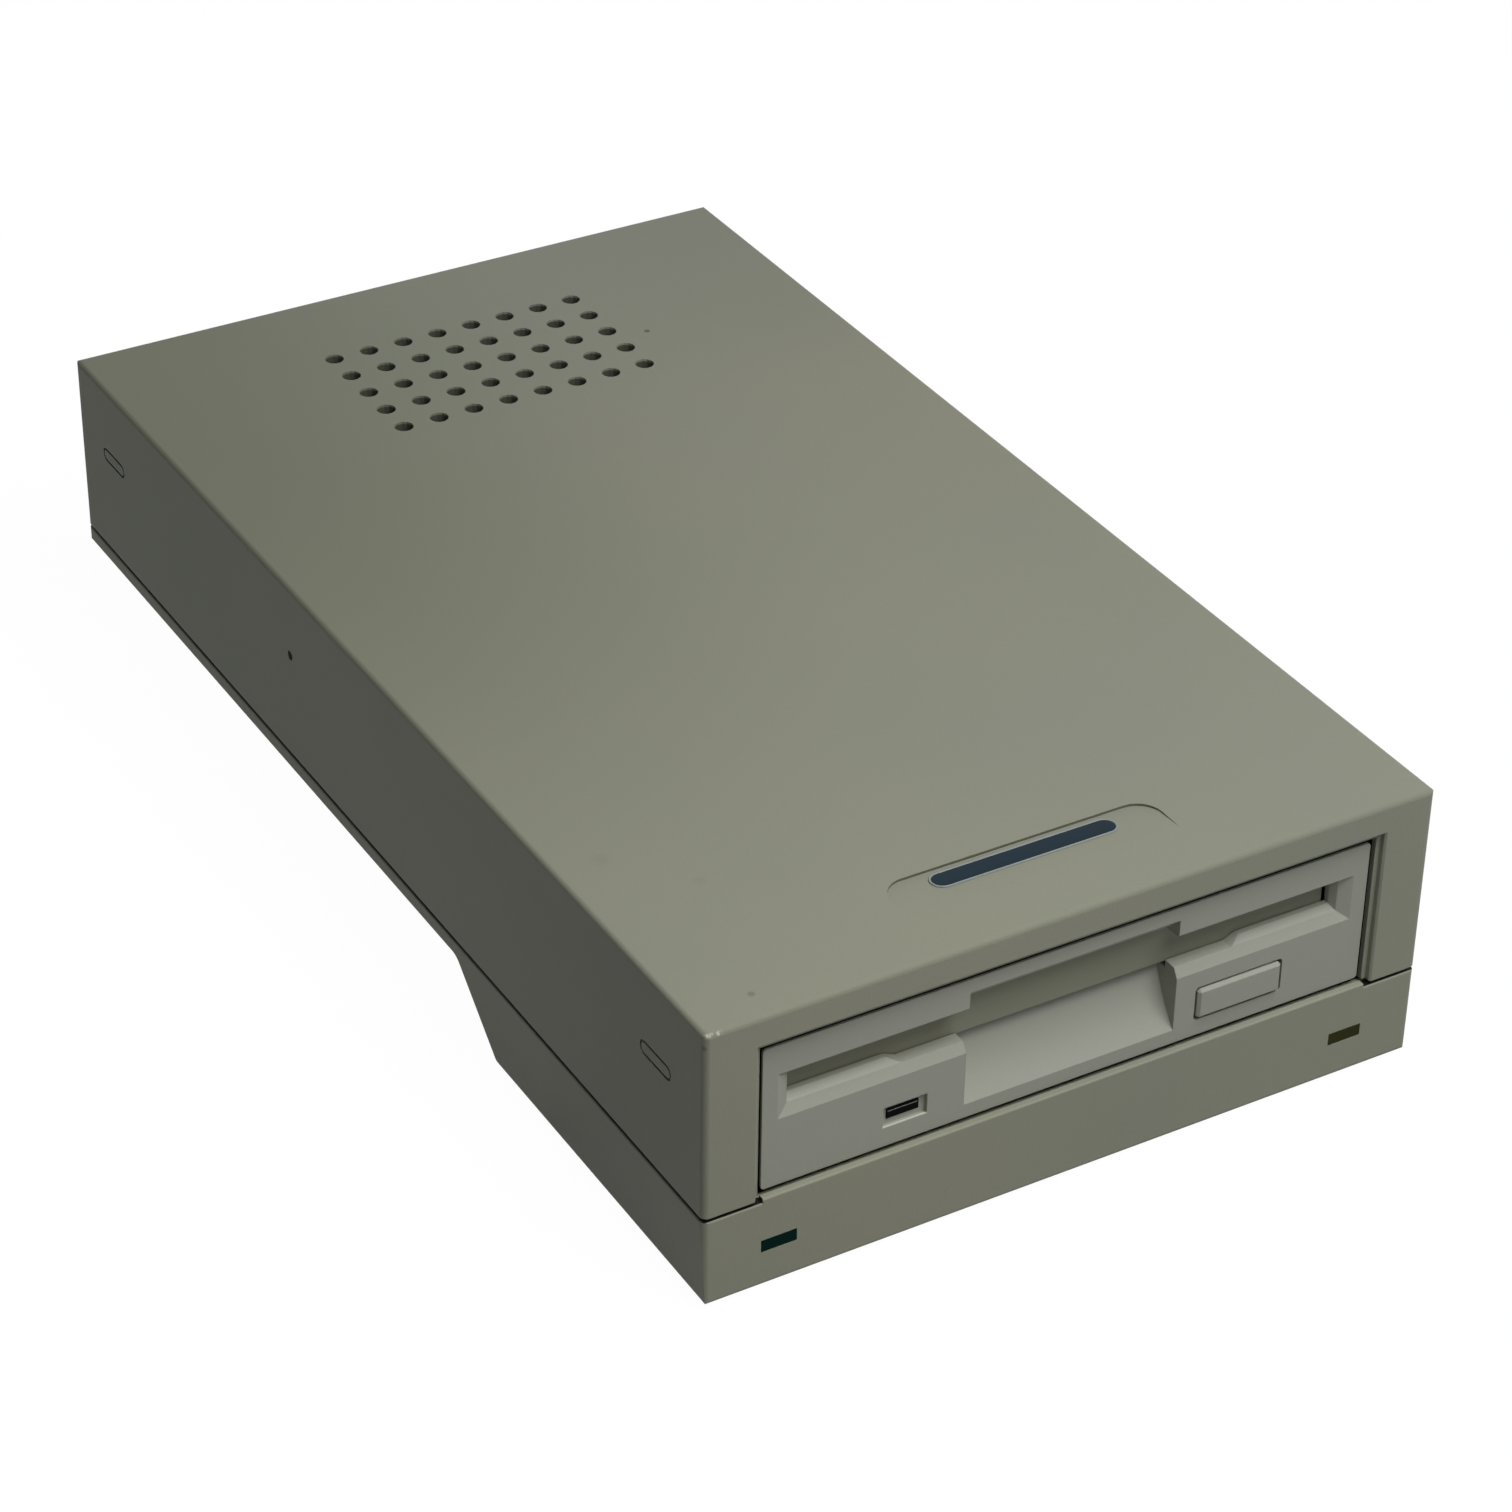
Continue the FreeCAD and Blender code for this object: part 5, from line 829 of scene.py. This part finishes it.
floor_finish.wear(Base_Color=floor_finish.blend(seen, grey(FLOOR_BOUNCE), grey(FLOOR_WHITE)))
glow = floor_finish.tree.nodes.new("ShaderNodeEmission")
mix = floor_finish.tree.nodes.new("ShaderNodeMixShader")
glow.inputs["Strength"].default_value = GLOW_STRENGTH
share = seen * GLOW_SHARE
floor_finish.tree.links.new(share.socket, mix.inputs[0])
floor_finish.tree.links.new(floor_finish.shader.outputs[0], mix.inputs[1])
floor_finish.tree.links.new(glow.outputs[0], mix.inputs[2])
floor_finish.tree.links.new(mix.outputs[0], floor_finish.tree.nodes["Material Output"].inputs["Surface"])
floor_mesh.materials.append(floor_finish.material)
floor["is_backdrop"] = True
print("floor", 2 * FLOOR_HALF, "m wide")

# %% [markdown]
# ## The world
# A studio's walls light an object faintly from all round. The world does that with a low strength, and
# shows white to the camera and to mirror-like rays, so that metal has something bright to reflect.

# %% World
AMBIENT = 0.022
world = bpy.data.worlds.new("studio")
scene.world = world
world.use_nodes = True
tree = world.node_tree
tree.nodes.clear()
path = tree.nodes.new("ShaderNodeLightPath")
seen = tree.nodes.new("ShaderNodeMath")
seen.operation = "MAXIMUM"
mirrored = tree.nodes.new("ShaderNodeMath")
mirrored.operation = "MAXIMUM"
tree.links.new(path.outputs["Is Glossy Ray"], mirrored.inputs[0])
tree.links.new(path.outputs["Is Transmission Ray"], mirrored.inputs[1])
tree.links.new(path.outputs["Is Camera Ray"], seen.inputs[0])
tree.links.new(mirrored.outputs[0], seen.inputs[1])
strength = tree.nodes.new("ShaderNodeMapRange")
tree.links.new(seen.outputs[0], strength.inputs["Value"])
strength.inputs["To Min"].default_value = AMBIENT
strength.inputs["To Max"].default_value = 1.0
background = tree.nodes.new("ShaderNodeBackground")
tree.links.new(strength.outputs[0], background.inputs["Strength"])
background.inputs["Color"].default_value = (1, 1, 1, 1)
output = tree.nodes.new("ShaderNodeOutputWorld")
tree.links.new(background.outputs[0], output.inputs["Surface"])
print("ambient light", AMBIENT)

# %% [markdown]
# ## The lamps
# Three square soft boxes make the light: a key above the front, whose light fades towards the rear of
# the lid, a low one behind for the connectors, and a weak one in front for the face of the drive.


# %% Lamps
def soft_lamp(name, place, target, size, power):
    """A square soft box that looks at a point."""
    data = bpy.data.lights.new(name, "AREA")
    data.size = size
    data.energy = power
    lamp = bpy.data.objects.new(name, data)
    lamp.location = place
    lamp.rotation_euler = (Vector(target) - Vector(place)).to_track_quat("-Z", "Y").to_euler()
    scene.collection.objects.link(lamp)
    print(name, "lamp,", power, "W")


soft_lamp("key", place=(0.11, -0.33, 0.57), target=(0.0, -0.04, 0.03), size=0.38, power=3.5)
soft_lamp("rear", place=(0.10, 0.90, 0.14), target=(0.0, 0.10, 0.03), size=0.5, power=1.3)
soft_lamp("fill", place=(-0.12, -0.80, 0.22), target=(0.0, -0.08, 0.03), size=0.5, power=0.65)
scene.view_settings.view_transform = "Standard"

# %% [markdown]
# ## The two boxes
# Both boxes, the CAD model's and the dressed model's, are printed.

# %% Sizes and finish
sizes = {"cad": [list(corner) for corner in cad_box], "visual": [list(corner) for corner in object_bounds()]}
print(sizes)
